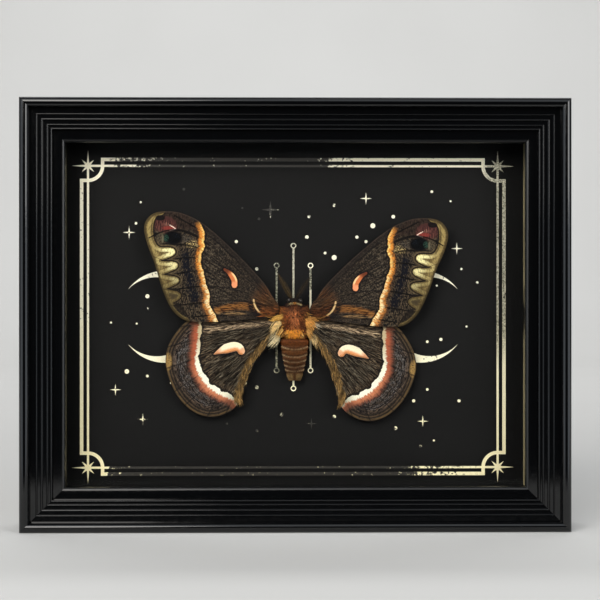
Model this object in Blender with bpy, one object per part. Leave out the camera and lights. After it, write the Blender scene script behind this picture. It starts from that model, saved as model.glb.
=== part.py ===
"""Framed moth specimen: a spread giant silk moth on a black card in a black shadow-box frame.

The frame stands upright. X runs along its width, Z runs up from the underside of the bottom rail,
and the glazed front faces -Y. The origin is at the middle of the footprint, on the surface that
the frame stands on. Every length below is in metres; MM only shortens the writing of small sizes.
"""

import math

import bmesh
import bpy
from mathutils import Vector

MM = 0.001
GAP = 0.3 * MM  # what touching pieces keep between them

# Frame
OUTER_WIDTH = 234 * MM
OUTER_HEIGHT = 184 * MM
RAIL_DEPTH = 32 * MM
SIGHT_WIDTH = 18.3 * MM  # from the outer side to the edge of the opening
REBATE_WIDTH = 14.6 * MM  # from the outer side to the wall that the boards sit in
LIP_BACK = 11.6 * MM  # depth of the face that the pane bears on
MITRE_CUT = GAP / math.sqrt(2)  # half a gap, measured along the rail

# What lies in the rebate, from the front to the back
PANE_THICKNESS = 2.0 * MM
FILLET_DEPTH = 11.1 * MM
FILLET_WIDTH = 1.8 * MM
CARD_THICKNESS = 1.4 * MM
BACKING_THICKNESS = 3.0 * MM
BOARD_WIDTH = 203.2 * MM  # 8 inches
BOARD_HEIGHT = 152.4 * MM  # 6 inches

# Fittings on the back
TAB_LENGTH = 10 * MM
TAB_WIDTH = 8 * MM
TAB_THICKNESS = 0.5 * MM
HANGER_LENGTH = 44 * MM
HANGER_WIDTH = 7 * MM
HANGER_THICKNESS = 0.6 * MM
HANGER_TEETH = 9
HANGER_TOOTH = 1.6 * MM
NAIL_RADIUS = 1.7 * MM
NAIL_HEAD = 0.8 * MM
HANGER_STANDOFF = 2 * GAP + HANGER_THICKNESS + NAIL_HEAD

# The moth: where its middle is, and how far its parts stand in front of the card
MOTH_X = -1.0 * MM
MOTH_Z = 89.1 * MM
BODY_X = 0.6 * MM  # the body lies a little right of the middle of the wings
WING_THICKNESS = 0.45 * MM
WING_EDGE = 0.25 * MM
WING_SIDES = 56

# Wing plans in mm from the hinge of the wing: outwards from the body, and up
FOREWING_PLAN = (
    (0.3, 2.6), (3.0, 6.2), (6.2, 11.2), (13.3, 18.9), (22.2, 27.4), (30.4, 34.5), (37.4, 39.1),
    (45.2, 41.8), (53.1, 41.8), (57.6, 39.4), (59.5, 34.8), (58.0, 27.9), (54.8, 20.1),
    (52.3, 12.2), (49.5, 4.9), (46.1, -1.0), (41.5, -4.7), (36.1, -5.6), (25.7, -5.3),
    (12.6, -4.0), (4.0, -3.0), (0.3, -1.5),
)
HINDWING_PLAN = (
    (0.8, 1.4), (3.4, 3.6), (9.8, 4.6), (22.8, 4.8), (34.0, 4.0), (40.2, 0.4), (45.0, -5.8),
    (47.6, -11.7), (47.9, -17.9), (45.7, -25.4), (41.8, -32.2), (36.2, -37.5), (30.0, -40.0),
    (24.0, -39.6), (18.6, -37.0), (15.6, -33.4), (13.8, -28.2), (11.4, -21.1), (8.4, -14.0),
    (4.4, -7.7), (0.2, -3.3),
)
# name: hinge x, hinge z and how far the tip is turned up, in mm and degrees
FOREWING_SET = {"left": (-6.2, 4.4, 1.44), "right": (7.2, 4.0, -1.44)}
HINDWING_SET = {"left": (-7.1, -2.6, 2.07), "right": (6.3, -2.5, -2.07)}
SIDE_SIGN = {"left": -1, "right": 1}


def front_y(depth):
    """The Y of something that lies this far behind the front of the moulding."""
    return depth - (RAIL_DEPTH + HANGER_STANDOFF) / 2


PANE_FRONT = LIP_BACK + GAP
FILLET_FRONT = PANE_FRONT + PANE_THICKNESS + GAP
CARD_FRONT = FILLET_FRONT + FILLET_DEPTH + GAP
BACKING_FRONT = CARD_FRONT + CARD_THICKNESS + GAP
TAB_FRONT = BACKING_FRONT + BACKING_THICKNESS + GAP
CENTRE_Z = OUTER_HEIGHT / 2


# ---------------------------------------------------------------- scene, objects and materials

def clear_scene():
    for old in list(bpy.data.objects):
        bpy.data.objects.remove(old, do_unlink=True)


def make_material(name, colour, roughness, metallic=0.0, transmission=0.0):
    material = bpy.data.materials.new(name)
    material.use_nodes = True
    shader = material.node_tree.nodes["Principled BSDF"]
    shader.inputs["Base Color"].default_value = (*colour, 1.0)
    shader.inputs["Roughness"].default_value = roughness
    shader.inputs["Metallic"].default_value = metallic
    shader.inputs["Transmission Weight"].default_value = transmission
    return material


def add_object(name, form, material, location=(0, 0, 0), turn_y=0.0, smooth_angle=None):
    """Puts a closed bmesh in the scene as one named object, faces pointing out."""
    bmesh.ops.recalc_face_normals(form, faces=form.faces)
    mesh = bpy.data.meshes.new(name)
    form.to_mesh(mesh)
    form.free()
    mesh.materials.append(material)
    if smooth_angle is not None:
        mesh.shade_smooth()
        mesh.set_sharp_from_angle(angle=math.radians(smooth_angle))
    item = bpy.data.objects.new(name, mesh)
    item.location = location
    item.rotation_euler = (0, turn_y, 0)
    bpy.context.scene.collection.objects.link(item)
    return item


# ---------------------------------------------------------------- shapes

def box_form(width, depth, height):
    form = bmesh.new()
    bmesh.ops.create_cube(form, size=1)
    bmesh.ops.scale(form, vec=(width, depth, height), verts=form.verts)
    return form


def prism_form(outline, depth):
    """A plate of the given X, Z outline, with its front at Y 0 and its back at Y depth."""
    form = bmesh.new()
    front = [form.verts.new((x, 0, z)) for x, z in outline]
    back = [form.verts.new((x, depth, z)) for x, z in outline]
    form.faces.new(front)
    form.faces.new(reversed(back))
    join_rings(form, front, back)
    return form


def join_rings(form, first, second):
    count = len(first)
    for i in range(count):
        after = (i + 1) % count
        form.faces.new((first[i], first[after], second[after], second[i]))


def cap_with_fan(form, ring, centre):
    middle = form.verts.new(centre)
    for i in range(len(ring)):
        form.faces.new((ring[i], ring[(i + 1) % len(ring)], middle))


def smooth_loop(points, count):
    """Evenly spaced points on a closed Catmull-Rom curve through the given ones."""
    dense = []
    total = len(points)
    for i in range(total):
        a, b, c, d = (Vector(points[(i + k) % total]) for k in (-1, 0, 1, 2))
        for step in range(16):
            t = step / 16
            dense.append(0.5 * (2 * b + (c - a) * t + (2 * a - 5 * b + 4 * c - d) * t ** 2
                                + (3 * b - a - 3 * c + d) * t ** 3))
    lengths = [(dense[(i + 1) % len(dense)] - dense[i]).length for i in range(len(dense))]
    spacing = sum(lengths) / count
    picked = []
    travelled = 0.0
    for point, length in zip(dense, lengths):
        if travelled >= spacing * len(picked) - 1e-9 and len(picked) < count:
            picked.append(point)
        travelled += length
    return picked


# ---------------------------------------------------------------- frame

def arc(centre, radii, start, end, steps):
    """Profile points on an arc; 0 degrees points inwards over the face and 90 to the front."""
    angles = [math.radians(start + (end - start) * i / steps) for i in range(steps + 1)]
    return [(centre[0] + radii[0] * math.cos(a), centre[1] - radii[1] * math.sin(a)) for a in angles]


def rail_profile():
    """The moulding's section in mm: across from its outer side, and back from its front."""
    back = RAIL_DEPTH / MM
    points = [(0.0, back)]
    points += arc((1.67, 2.0), (1.67, 2.0), 180, 0, 10)  # outer bead
    points += arc((5.5, 3.2), (2.1, 1.7), 180, 270, 5)  # cove
    points += arc((6.3, 4.9), (0.38, 0.65), 180, 0, 5)  # first quirk
    points += arc((8.15, 5.1), (0.85, 0.65), 180, 0, 6)  # first reed
    points += [(9.2, 6.1)]
    points += arc((10.35, 6.3), (0.35, 0.65), 180, 0, 5)  # second quirk
    points += arc((12.0, 6.6), (0.72, 0.65), 180, 0, 6)  # second reed
    points += arc((15.6, 6.9), (2.7, 2.3), 180, 270, 6)  # scoop
    points += arc((17.0, 9.4), (1.3, 0.9), 180, 0, 8)  # nose of the lip
    points += [(SIGHT_WIDTH / MM, 11.0), (17.7, LIP_BACK / MM)]
    points += [(REBATE_WIDTH / MM, LIP_BACK / MM), (REBATE_WIDTH / MM, back)]
    return [(u * MM, v * MM) for u, v in points]


def rail_form(length):
    """A rail along X whose outer side is at Z 0, cut to 45 degrees at both ends."""
    form = bmesh.new()
    ends = []
    for sign in (-1, 1):
        ends.append([
            form.verts.new((sign * (length / 2 - u - MITRE_CUT), front_y(v), -u))
            for u, v in rail_profile()
        ])
    form.faces.new(ends[0])
    form.faces.new(reversed(ends[1]))
    join_rings(form, ends[0], ends[1])
    return form


def build_rails(lacquer):
    half_width = OUTER_WIDTH / 2
    places = {
        "top": (OUTER_WIDTH, (0, 0, OUTER_HEIGHT), 0),
        "bottom": (OUTER_WIDTH, (0, 0, 0), 180),
        "left": (OUTER_HEIGHT, (-half_width, 0, CENTRE_Z), -90),
        "right": (OUTER_HEIGHT, (half_width, 0, CENTRE_Z), 90),
    }
    for side, (length, place, turn) in places.items():
        add_object(f"rail_{side}", rail_form(length), lacquer, place, math.radians(turn), 30)


def build_boards(glass, black_card, fibreboard):
    layers = (
        ("glass_pane", PANE_FRONT, PANE_THICKNESS, glass),
        ("mount_card", CARD_FRONT, CARD_THICKNESS, black_card),
        ("backing_board", BACKING_FRONT, BACKING_THICKNESS, fibreboard),
    )
    for name, front, thickness, material in layers:
        middle = front_y(front + thickness / 2)
        add_object(name, box_form(BOARD_WIDTH, thickness, BOARD_HEIGHT), material, (0, middle, CENTRE_Z))


def build_fillets(black_card):
    """The four strips between the pane and the card; the upright ones stand between the others."""
    middle = front_y(FILLET_FRONT + FILLET_DEPTH / 2)
    across = OUTER_WIDTH - 2 * (REBATE_WIDTH + GAP)
    room = OUTER_HEIGHT / 2 - REBATE_WIDTH - GAP
    upright = 2 * (room - FILLET_WIDTH - GAP)
    for name, sign in (("bottom", -1), ("top", 1)):
        place = (0, middle, CENTRE_Z + sign * (room - FILLET_WIDTH / 2))
        add_object(f"fillet_{name}", box_form(across, FILLET_DEPTH, FILLET_WIDTH), black_card, place)
    for name, sign in (("left", -1), ("right", 1)):
        place = (sign * (across - FILLET_WIDTH) / 2, middle, CENTRE_Z)
        add_object(f"fillet_{name}", box_form(FILLET_WIDTH, FILLET_DEPTH, upright), black_card, place)


def build_tabs(steel):
    """Six flat framer's tabs behind the backing board, their outer ends at the rebate wall."""
    half_tab = TAB_WIDTH / 2
    outline = [(-half_tab, 0), (half_tab, 0)]
    for step in range(7):
        angle = math.pi * step / 6
        reach = TAB_LENGTH - half_tab + half_tab * math.sin(angle)
        outline.append((half_tab * math.cos(angle), -reach))
    side_x = OUTER_WIDTH / 2 - REBATE_WIDTH - GAP
    side_z = OUTER_HEIGHT / 2 - REBATE_WIDTH - GAP
    quarter = BOARD_WIDTH / 4
    places = (
        (-quarter, side_z, 0), (quarter, side_z, 0),
        (-quarter, -side_z, 180), (quarter, -side_z, 180),
        (-side_x, 0, -90), (side_x, 0, 90),
    )
    for number, (x, z, turn) in enumerate(places, start=1):
        place = (x, front_y(TAB_FRONT), CENTRE_Z + z)
        form = prism_form(outline, TAB_THICKNESS)
        add_object(f"framers_tab_{number}", form, steel, place, math.radians(turn))


def build_hanger(steel):
    """A saw-toothed hanging plate on the back of the top rail, and the heads of its two nails."""
    half = HANGER_LENGTH / 2
    top = HANGER_WIDTH / 2
    outline = [(-half, top), (half, top), (half, -top)]
    toothed = HANGER_TEETH * 2 * HANGER_TOOTH
    start = toothed / 2
    for tooth in range(HANGER_TEETH):
        right = start - tooth * 2 * HANGER_TOOTH
        outline += [(right, -top), (right - HANGER_TOOTH, -top + HANGER_TOOTH)]
    outline += [(-start, -top), (-half, -top)]
    z = OUTER_HEIGHT - REBATE_WIDTH / 2
    plate_y = front_y(RAIL_DEPTH + GAP)
    add_object("hanger_plate", prism_form(outline, HANGER_THICKNESS), steel, (0, plate_y, z))
    head_y = plate_y + HANGER_THICKNESS + GAP
    for name, sign in (("left", -1), ("right", 1)):
        place = (sign * (half - 2 * NAIL_RADIUS), head_y, z)
        add_object(f"hanger_nail_{name}", nail_form(), steel, place, smooth_angle=40)


def nail_form():
    """A domed nail head, flat side at Y 0."""
    form = bmesh.new()
    sides = 16
    rings = []
    for radius, depth in ((1.0, 0.0), (1.0, 0.35), (0.7, 0.8)):
        rings.append([
            form.verts.new((
                NAIL_RADIUS * radius * math.cos(2 * math.pi * i / sides),
                NAIL_HEAD * depth,
                NAIL_RADIUS * radius * math.sin(2 * math.pi * i / sides),
            ))
            for i in range(sides)
        ])
    for first, second in zip(rings, rings[1:]):
        join_rings(form, first, second)
    form.faces.new(rings[0])
    cap_with_fan(form, rings[-1], (0, NAIL_HEAD, 0))
    return form


# ---------------------------------------------------------------- moth

def forewing_height(a, b):
    """How far the top of the forewing stands in front of the card, in mm, over its plan."""
    chord = (b - 1 - 0.46 * a) / (9.5 + 0.35 * abs(a))
    return 6.8 - 1.4 * (a / 60) ** 2 + 0.7 * max(0.0, 1 - chord ** 2)


def hindwing_height(a, b):
    chord = (a + 0.55 * b - 13) / 26
    return 5.2 - 1.5 * (a * a + b * b) / 50 ** 2 + 0.5 * max(0.0, 1 - chord ** 2)


def wing_form(plan, height, sign, turn):
    """A thin cambered sheet over the plan, thinner at its edge, built as rings about its middle."""
    loop = smooth_loop(plan, WING_SIDES)
    middle = sum(loop, Vector((0, 0))) / len(loop)
    shares = (0.3, 0.55, 0.76, 0.92, 1.0)
    turned = math.radians(turn)
    form = bmesh.new()

    def place(point, depth):
        a, b = point
        x = a * math.cos(turned) - b * math.sin(turned)
        z = a * math.sin(turned) + b * math.cos(turned)
        front = height(a, b) * MM - depth
        return form.verts.new((sign * x * MM, -front, z * MM))

    sheets = []
    for back in (False, True):
        rings = []
        for share in shares:
            thickness = WING_EDGE + (WING_THICKNESS - WING_EDGE) * min(1.0, (1 - share) / 0.2)
            depth = thickness if back else 0.0
            rings.append([place(middle + (point - middle) * share, depth) for point in loop])
        for first, second in zip(rings, rings[1:]):
            join_rings(form, first, second)
        hub = place(middle, WING_THICKNESS if back else 0.0)
        for i in range(WING_SIDES):
            form.faces.new((rings[0][i], rings[0][(i + 1) % WING_SIDES], hub))
        sheets.append(rings[-1])
    join_rings(form, sheets[0], sheets[1])
    return form


def build_wings(membrane):
    card_y = front_y(CARD_FRONT)
    kinds = (
        ("forewing", FOREWING_PLAN, FOREWING_SET, forewing_height),
        ("hindwing", HINDWING_PLAN, HINDWING_SET, hindwing_height),
    )
    for kind, plan, settings, height in kinds:
        for side, (hinge_x, hinge_z, turn) in settings.items():
            form = wing_form(plan, height, SIDE_SIGN[side], turn)
            place = (MOTH_X + hinge_x * MM, card_y, MOTH_Z + hinge_z * MM)
            add_object(f"{kind}_{side}", form, membrane, place, smooth_angle=50)


def lofted_form(sections, sides):
    """A closed body along -Z. A section is z, half width, half depth, middle height and lumpiness."""
    form = bmesh.new()
    rings = []
    for z, half_width, half_depth, centre, lump in sections:
        ring = []
        for i in range(sides):
            angle = 2 * math.pi * i / sides
            swell = 1 + lump * math.sin(5 * angle + 9 * z)
            x = half_width * swell * math.cos(angle)
            front = centre + half_depth * swell * math.sin(angle)
            ring.append(form.verts.new((x * MM, -front * MM, z * MM)))
        rings.append(ring)
    for first, second in zip(rings, rings[1:]):
        join_rings(form, first, second)
    for ring, section, tip in ((rings[0], sections[0], 0.25), (rings[-1], sections[-1], -0.25)):
        cap_with_fan(form, ring, (0, -section[3] * MM, (section[0] + tip) * MM))
    return form


def thorax_sections():
    """A full barrel 14.4 mm long, lumpy where its fur parts into locks."""
    sections = []
    rows = 16
    for row in range(rows + 1):
        z = 7.0 - 14.0 * row / rows
        along = abs(z) / 7.35
        fullness = (1 - along ** 2.6) ** (1 / 2.6)
        lump = 0.03 if row % 2 else -0.01
        sections.append((z, 6.1 * fullness, 4.6 * fullness, 5.2, lump))
    return sections


def abdomen_sections():
    """Seven rings that narrow towards the tail, each with a fold behind it."""
    sections = [(-7.7, 4.4, 3.0, 4.6, 0.0)]
    ring_count = 7
    start, end = -8.0, -24.6
    length = (start - end) / ring_count
    for ring in range(ring_count):
        for share, swell in ((0.0, 0.93), (0.35, 1.0), (0.75, 1.0)):
            z = start - length * (ring + share)
            run = (start - z) / (start - end)
            half_width = (6.2 - 2.9 * run ** 1.6) * swell
            sections.append((z, half_width, 0.66 * half_width + 0.1, 4.6 - 1.2 * run, 0.0))
    sections.append((-25.4, 2.9, 1.9, 3.3, 0.0))
    sections.append((-26.3, 2.0, 1.3, 3.2, 0.0))
    return sections


def head_sections():
    """A short round head tucked against the front of the thorax."""
    sections = []
    rows = 8
    for row in range(rows + 1):
        z = 9.6 - 1.9 * row / rows
        fullness = math.sin(math.radians(35 + 105 * row / rows))
        sections.append((z, 3.3 * fullness, 2.5 * fullness, 4.6, 0.0))
    return sections


def build_body(fur, scales):
    card_y = front_y(CARD_FRONT)
    place = (MOTH_X + BODY_X, card_y, MOTH_Z)
    add_object("thorax", lofted_form(thorax_sections(), 26), fur, place, smooth_angle=60)
    add_object("abdomen", lofted_form(abdomen_sections(), 22), scales, place, smooth_angle=60)
    add_object("head", lofted_form(head_sections(), 16), fur, place, smooth_angle=60)


def antenna_outline(length, widest, barbs):
    """A feather outline along +Z: slanting barbs on both sides of a fine shaft."""
    right = []
    for barb in range(barbs):
        share = (barb + 0.5) / barbs
        reach = widest * math.sin(math.pi * (0.12 + 0.88 * share) ** 0.8)
        foot = length * (0.06 + 0.90 * barb / barbs)
        pitch = length * 0.90 / barbs
        right += [(0.22, foot), (reach, foot + 0.75 * pitch), (reach, foot + 1.0 * pitch),
                  (0.22, foot + 0.55 * pitch)]
    left = [(-x, z) for x, z in reversed(right)]
    return [(0.25, 0.0)] + right + [(0.0, length)] + left + [(-0.25, 0.0)]


def build_antennae(horn):
    height = 5.0 * MM
    front = front_y(CARD_FRONT) - height
    for side, (foot_x, lean, length) in {"left": (-0.7, -29, 13.4), "right": (1.3, 33, 12.2)}.items():
        outline = [(x * MM, z * MM) for x, z in antenna_outline(length, 1.35, 14)]
        form = prism_form(outline, 0.4 * MM)
        place = (MOTH_X + foot_x * MM, front, MOTH_Z + 9.9 * MM)
        add_object(f"antenna_{side}", form, horn, place, math.radians(lean))


def main():
    clear_scene()
    lacquer = make_material("black_lacquer", (0.012, 0.013, 0.015), 0.28)
    glass = make_material("clear_glass", (0.95, 0.97, 0.96), 0.02, transmission=1.0)
    black_card = make_material("black_card", (0.020, 0.020, 0.021), 0.85)
    fibreboard = make_material("fibreboard", (0.24, 0.15, 0.08), 0.80)
    steel = make_material("zinc_steel", (0.55, 0.55, 0.53), 0.35, metallic=1.0)
    membrane = make_material("wing_scales", (0.075, 0.060, 0.048), 0.75)
    fur = make_material("rust_fur", (0.24, 0.095, 0.04), 0.90)
    scales = make_material("abdomen_scales", (0.21, 0.11, 0.06), 0.85)
    horn = make_material("antenna_horn", (0.10, 0.075, 0.05), 0.70)
    build_rails(lacquer)
    build_boards(glass, black_card, fibreboard)
    build_fillets(black_card)
    build_tabs(steel)
    build_hanger(steel)
    build_wings(membrane)
    build_body(fur, scales)
    build_antennae(horn)


main()
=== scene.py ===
"""The looks of a framed moth specimen: a spread giant silk moth on a black card with a gold foil border,
behind glass in a black moulded frame.

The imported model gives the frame's boards, pane and fittings. This script dresses them and puts finer
pieces in place of the rails, the wings and the body. Shapes are worked out in mm and built in metres;
X is the width, Z is up and the glazed front faces -Y.
"""

import math

import bpy
import numpy as np
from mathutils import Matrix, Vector, geometry


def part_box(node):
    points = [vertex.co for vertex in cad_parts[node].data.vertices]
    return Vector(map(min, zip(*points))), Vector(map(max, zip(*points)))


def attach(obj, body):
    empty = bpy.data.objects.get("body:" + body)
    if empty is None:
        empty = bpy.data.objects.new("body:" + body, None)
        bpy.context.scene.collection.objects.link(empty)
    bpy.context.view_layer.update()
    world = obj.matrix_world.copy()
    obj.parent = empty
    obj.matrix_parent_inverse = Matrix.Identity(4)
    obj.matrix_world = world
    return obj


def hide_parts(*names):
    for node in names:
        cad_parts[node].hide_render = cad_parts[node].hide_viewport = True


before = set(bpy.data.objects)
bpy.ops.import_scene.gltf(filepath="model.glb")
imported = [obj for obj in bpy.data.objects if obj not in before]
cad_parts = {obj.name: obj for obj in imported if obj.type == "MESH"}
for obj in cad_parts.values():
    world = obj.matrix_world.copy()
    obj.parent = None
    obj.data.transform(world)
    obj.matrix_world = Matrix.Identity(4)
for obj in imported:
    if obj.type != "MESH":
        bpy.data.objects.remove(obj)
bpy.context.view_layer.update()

MM = 0.001
BODY = "root"
RANDOM_SEED = 4127
ROUNDING = 1e-9
BRIGHTEST = 0.97  # the most that a colour of hair reaches

# The studio, in metres
FLOOR_FRONT = -0.17  # near enough to stay out of the moulding's reflections
CAMERA_TURN = 0.8  # degrees
CAMERA_DISTANCE = 0.597
AIM_X = 0.00167
AIM_Z = 0.0983
LIGHTS_AIM = (0.0, 0.0, 0.09)
WARM = (1.0, 0.96, 0.91)
COOL = (0.86, 0.93, 1.0)

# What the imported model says, in mm
CARD_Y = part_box("mount_card")[0].y / MM
FRONT_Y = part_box("rail_top")[0].y / MM
BACK_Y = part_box("rail_top")[1].y / MM
HALF_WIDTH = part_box("rail_top")[1].x / MM
OUTER_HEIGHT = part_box("rail_top")[1].z / MM

# Moulding, as in the solids: across from its outer side, and back from its front
SIGHT_WIDTH = 18.3
REBATE_WIDTH = 14.6
BEAD_RADII = (2.1, 2.0)
# each step inside the outer bead: the start and end of its tread, then its edge's middle, radii and sides
STEPS = (
    ((4.35, 4.62), (6.45, 4.78), (6.80, 4.90), (0.34, 0.52), 12),
    ((7.20, 5.14), (8.45, 5.24), (8.95, 5.36), (0.46, 0.52), 14),
    ((9.50, 5.68), (10.80, 5.78), (11.20, 5.90), (0.35, 0.50), 12),
    ((11.62, 6.20), (12.35, 6.27), (12.85, 6.40), (0.42, 0.62), 14),
)
# the face next to the opening, which rounds over ever more
LIP = (
    (13.42, 8.52), (15.2, 8.64), (16.6, 8.82), (17.3, 8.98), (17.75, 9.22), (18.0, 9.62), (18.15, 10.2),
    (SIGHT_WIDTH, 11.0),
)
LIP_BACK = 11.6
LIP_EDGE = 17.7
FILLET_FACE = 100.3  # the fillets' inner faces, from the middle
MITRE_GAP = 0.05
PAINTED_SHADOW_CLEAR = (99.0, 74.0)  # half the part of the card that the frame's shadow leaves clear

# The print on the card
PRINT_X = -0.95
PRINT_Z = 90.95
FOIL_THICKNESS = 0.05
STAR_X = 90.0  # the corner stars, from the middle of the print
STAR_Z = 66.2
LINE_OUTSET = 2.8  # from the thin line out to the thick one
THICK_LINE = 1.5
THIN_LINE = 0.95
CORNER_RADIUS = 6.4
STAR_REACHES = (7.1, 3.8, 6.8, 3.8)
MOON_X = 56.2  # the middle of a crescent moon
# x, upper end and lower end of the ringed rods
RODS = ((-7.3, 22.5, -23.6), (0.1, 31.2, -31.5), (7.6, 22.5, -23.6))
# x, z and reach of the four-pointed stars
STARS = (
    (-10, 47, 4.1), (-72, 37, 2.9), (32, 52, 2.7), (72, 30, 2.7), (-78, -32, 2.6), (-66, -45, 2.6),
    (8, -47, 2.6), (57, -46, 2.5),
)
# Painted reflections in the foil: dim where it mirrors the dark room, grey spots, and bright where it
# mirrors the lamps; the middle, reach, softness and strength of each spot
DIM_REFLECTIONS = (
    ((-27.0, 64.0), (46.0, 26.0), 1.7, 1.0), ((-14.0, -66.0), (74.0, 26.0), 1.7, 1.0),
    ((-78.0, 69.0), (10.0, 2.6), 1.0, 0.14),
)
GREY_REFLECTIONS = (
    ((-7.3, 0.0), (2.2, 28.0), 0.2, 0.93), ((0.1, 14.0), (2.0, 20.0), 0.2, 0.62),
    ((7.6, 16.6), (2.2, 4.8), 0.5, 0.90), ((90.0, 30.0), (9.0, 46.0), 0.9, 0.66),
    ((-16.0, -31.0), (3.0, 3.0), 0.2, 0.8), ((-16.0, 21.0), (3.0, 3.0), 0.2, 0.45),
)
BRIGHT_REFLECTIONS = (((-90.0, -34.0), (8.0, 28.0), 0.9, 1.0), ((90.0, -40.0), (8.0, 28.0), 0.9, 1.0))
SMALL_DOTS = 14
# x, z and radius of the larger dots
LARGE_DOTS = (
    (-48, 56, 0.6), (-69, 41, 0.6), (-15, 43, 0.6), (-25, 33, 0.7), (-16, 21, 0.7), (-64, 9, 0.9),
    (18, 49, 0.7), (7, 44, 0.7), (6, 35, 0.8), (35, 40, 1.1), (44, 44, 0.8), (28, 35, 0.7), (32, 33, 0.7),
    (18, 26, 1.1), (14, 28, 0.6), (61, 55, 0.6), (74, 21, 0.5), (81, 15, 0.6), (-73, -24, 1.0),
    (-64, -26, 0.6), (-16, -31, 0.8), (-5, -43, 0.8), (-16, -50, 0.6), (59, -11, 0.6), (65, -10, 0.7),
    (59, -32, 0.6), (53, -37, 0.7), (73, -37, 0.7), (18, -44, 0.8), (45, -49, 0.8), (56, -57, 0.6),
)

# The moth
MOTH_X = -1.0
MOTH_Z = 89.1
BODY_X = MOTH_X + 0.6
WING_THICKNESS = 0.30
RIM_THICKNESS = 0.10
WING_SPACING = 0.21
BACK_SPACING = 1.2
SIDES = {"left": -1, "right": 1}
# hinge x and z from the middle of the moth, and how far the tip is turned up in degrees
HINGES = {
    "forewing": {"left": (-6.2, 4.4, 1.44), "right": (7.2, 4.0, -1.44)},
    "hindwing": {"left": (-7.1, -2.6, 2.07), "right": (6.3, -2.5, -2.07)},
}
# Wing plans from the hinge: outwards from the body, and up
PLANS = {
    "forewing": (
        (0.3, 2.6), (3.0, 6.2), (6.2, 11.2), (13.3, 18.9), (22.2, 27.4), (30.4, 34.5), (37.4, 39.1),
        (45.2, 41.8), (53.1, 41.8), (57.6, 39.4), (59.5, 34.8), (58.0, 27.9), (54.8, 20.1),
        (52.3, 12.2), (49.5, 4.9), (46.1, -1.0), (41.5, -4.7), (36.1, -5.6), (25.7, -5.3),
        (12.6, -4.0), (4.0, -3.0), (0.3, -1.5),
    ),
    "hindwing": (
        (0.8, 1.4), (3.4, 3.6), (9.8, 4.6), (22.8, 4.8), (34.0, 4.0), (40.2, 0.4), (45.0, -5.8),
        (47.6, -11.7), (47.9, -17.9), (45.7, -25.4), (41.8, -32.2), (36.2, -37.5), (30.0, -40.0),
        (24.0, -39.6), (18.6, -37.0), (15.6, -33.4), (13.8, -28.2), (11.4, -21.1), (8.4, -14.0),
        (4.4, -7.7), (0.2, -3.3),
    ),
}
# Lines of the wing pattern, drawn in the same plans; each runs from the front edge backwards
LINES = {
    "forewing": {
        "band": (
            (38.6, 43.0), (36.4, 39.3), (34.2, 35.6), (33.2, 31.4), (33.8, 29.4), (32.9, 27.4),
            (34.2, 24.6), (34.6, 20.6), (33.6, 16.8), (32.2, 12.2), (32.2, 10.6), (30.8, 8.1),
            (30.2, 5.6), (30.6, 2.8), (28.9, -0.4), (26.6, -4.7), (24.8, -7.6),
        ),
        "serpent": (
            (49.6, 43.4), (51.4, 41.0), (54.6, 39.2), (55.6, 36.0), (55.5, 31.6), (54.5, 28.4),
            (52.6, 26.4), (49.2, 26.3), (46.6, 25.9), (45.7, 24.4), (46.8, 23.0), (49.6, 21.7),
            (52.4, 20.6), (50.4, 20.2), (47.0, 20.2), (44.9, 19.6), (44.5, 18.3), (45.6, 17.1),
            (48.4, 15.8), (51.0, 14.7), (48.8, 14.1), (45.6, 13.7), (44.0, 12.9), (43.9, 11.7),
            (45.2, 10.5), (47.6, 9.3), (49.4, 8.4), (47.0, 7.7), (44.2, 7.1), (43.0, 6.1),
            (43.0, 4.9), (44.4, 3.6), (46.4, 2.4), (44.8, 1.4), (43.0, 0.2), (41.2, -1.8),
            (39.2, -4.6), (38.0, -7.0),
        ),
        "comma": ((24.0, 17.4), (22.4, 16.4), (20.7, 14.6), (19.7, 12.7), (19.6, 10.8)),
        "bar": ((11.2, 4.6), (10.6, 2.4), (9.5, 0.4), (7.6, -1.2), (4.6, -2.6), (1.6, -3.2)),
        "rust": ((27.0, -0.4), (21.7, 1.0), (16.0, 1.7), (11.2, 1.3)),
        "zigzag": ((48.3, 36.1), (46.9, 35.3), (45.8, 34.7), (46.9, 34.2), (48.2, 33.9)),
        "crease": ((35.3, 31.4), (42.0, 33.9), (47.7, 34.1), (52.8, 32.7), (57.2, 30.4)),
        "costa": (
            (-2.0, -0.6), (0.3, 2.6), (3.0, 6.2), (6.2, 11.2), (13.3, 18.9), (22.2, 27.4),
            (30.4, 34.5), (37.4, 39.1), (45.2, 41.8), (53.1, 41.8),
        ),
    },
    "hindwing": {
        "band": (
            (32.5, 5.4), (32.6, 1.0), (32.8, -3.4), (33.0, -7.8), (33.3, -12.1), (33.3, -15.6),
            (32.5, -18.7), (30.7, -21.4), (28.9, -24.0), (27.5, -25.9), (24.6, -27.3), (22.1, -28.8),
            (19.5, -29.8), (17.2, -31.2), (15.4, -33.1), (13.8, -35.5),
        ),
        "crescent": (
            (27.0, -12.8), (24.6, -11.5), (22.4, -10.4), (20.2, -9.6), (17.9, -9.1), (16.0, -9.6),
            (15.1, -11.0),
        ),
        "inner": (
            (-0.6, -2.0), (0.5, -3.4), (4.9, -7.7), (9.2, -13.6), (12.5, -20.6), (14.7, -27.6),
            (15.1, -33.3),
        ),
        "streak": ((31.4, -2.2), (26.0, -1.7), (20.5, -1.0), (11.8, 0.3), (5.3, 1.2), (1.0, 1.4)),
    },
}
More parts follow.
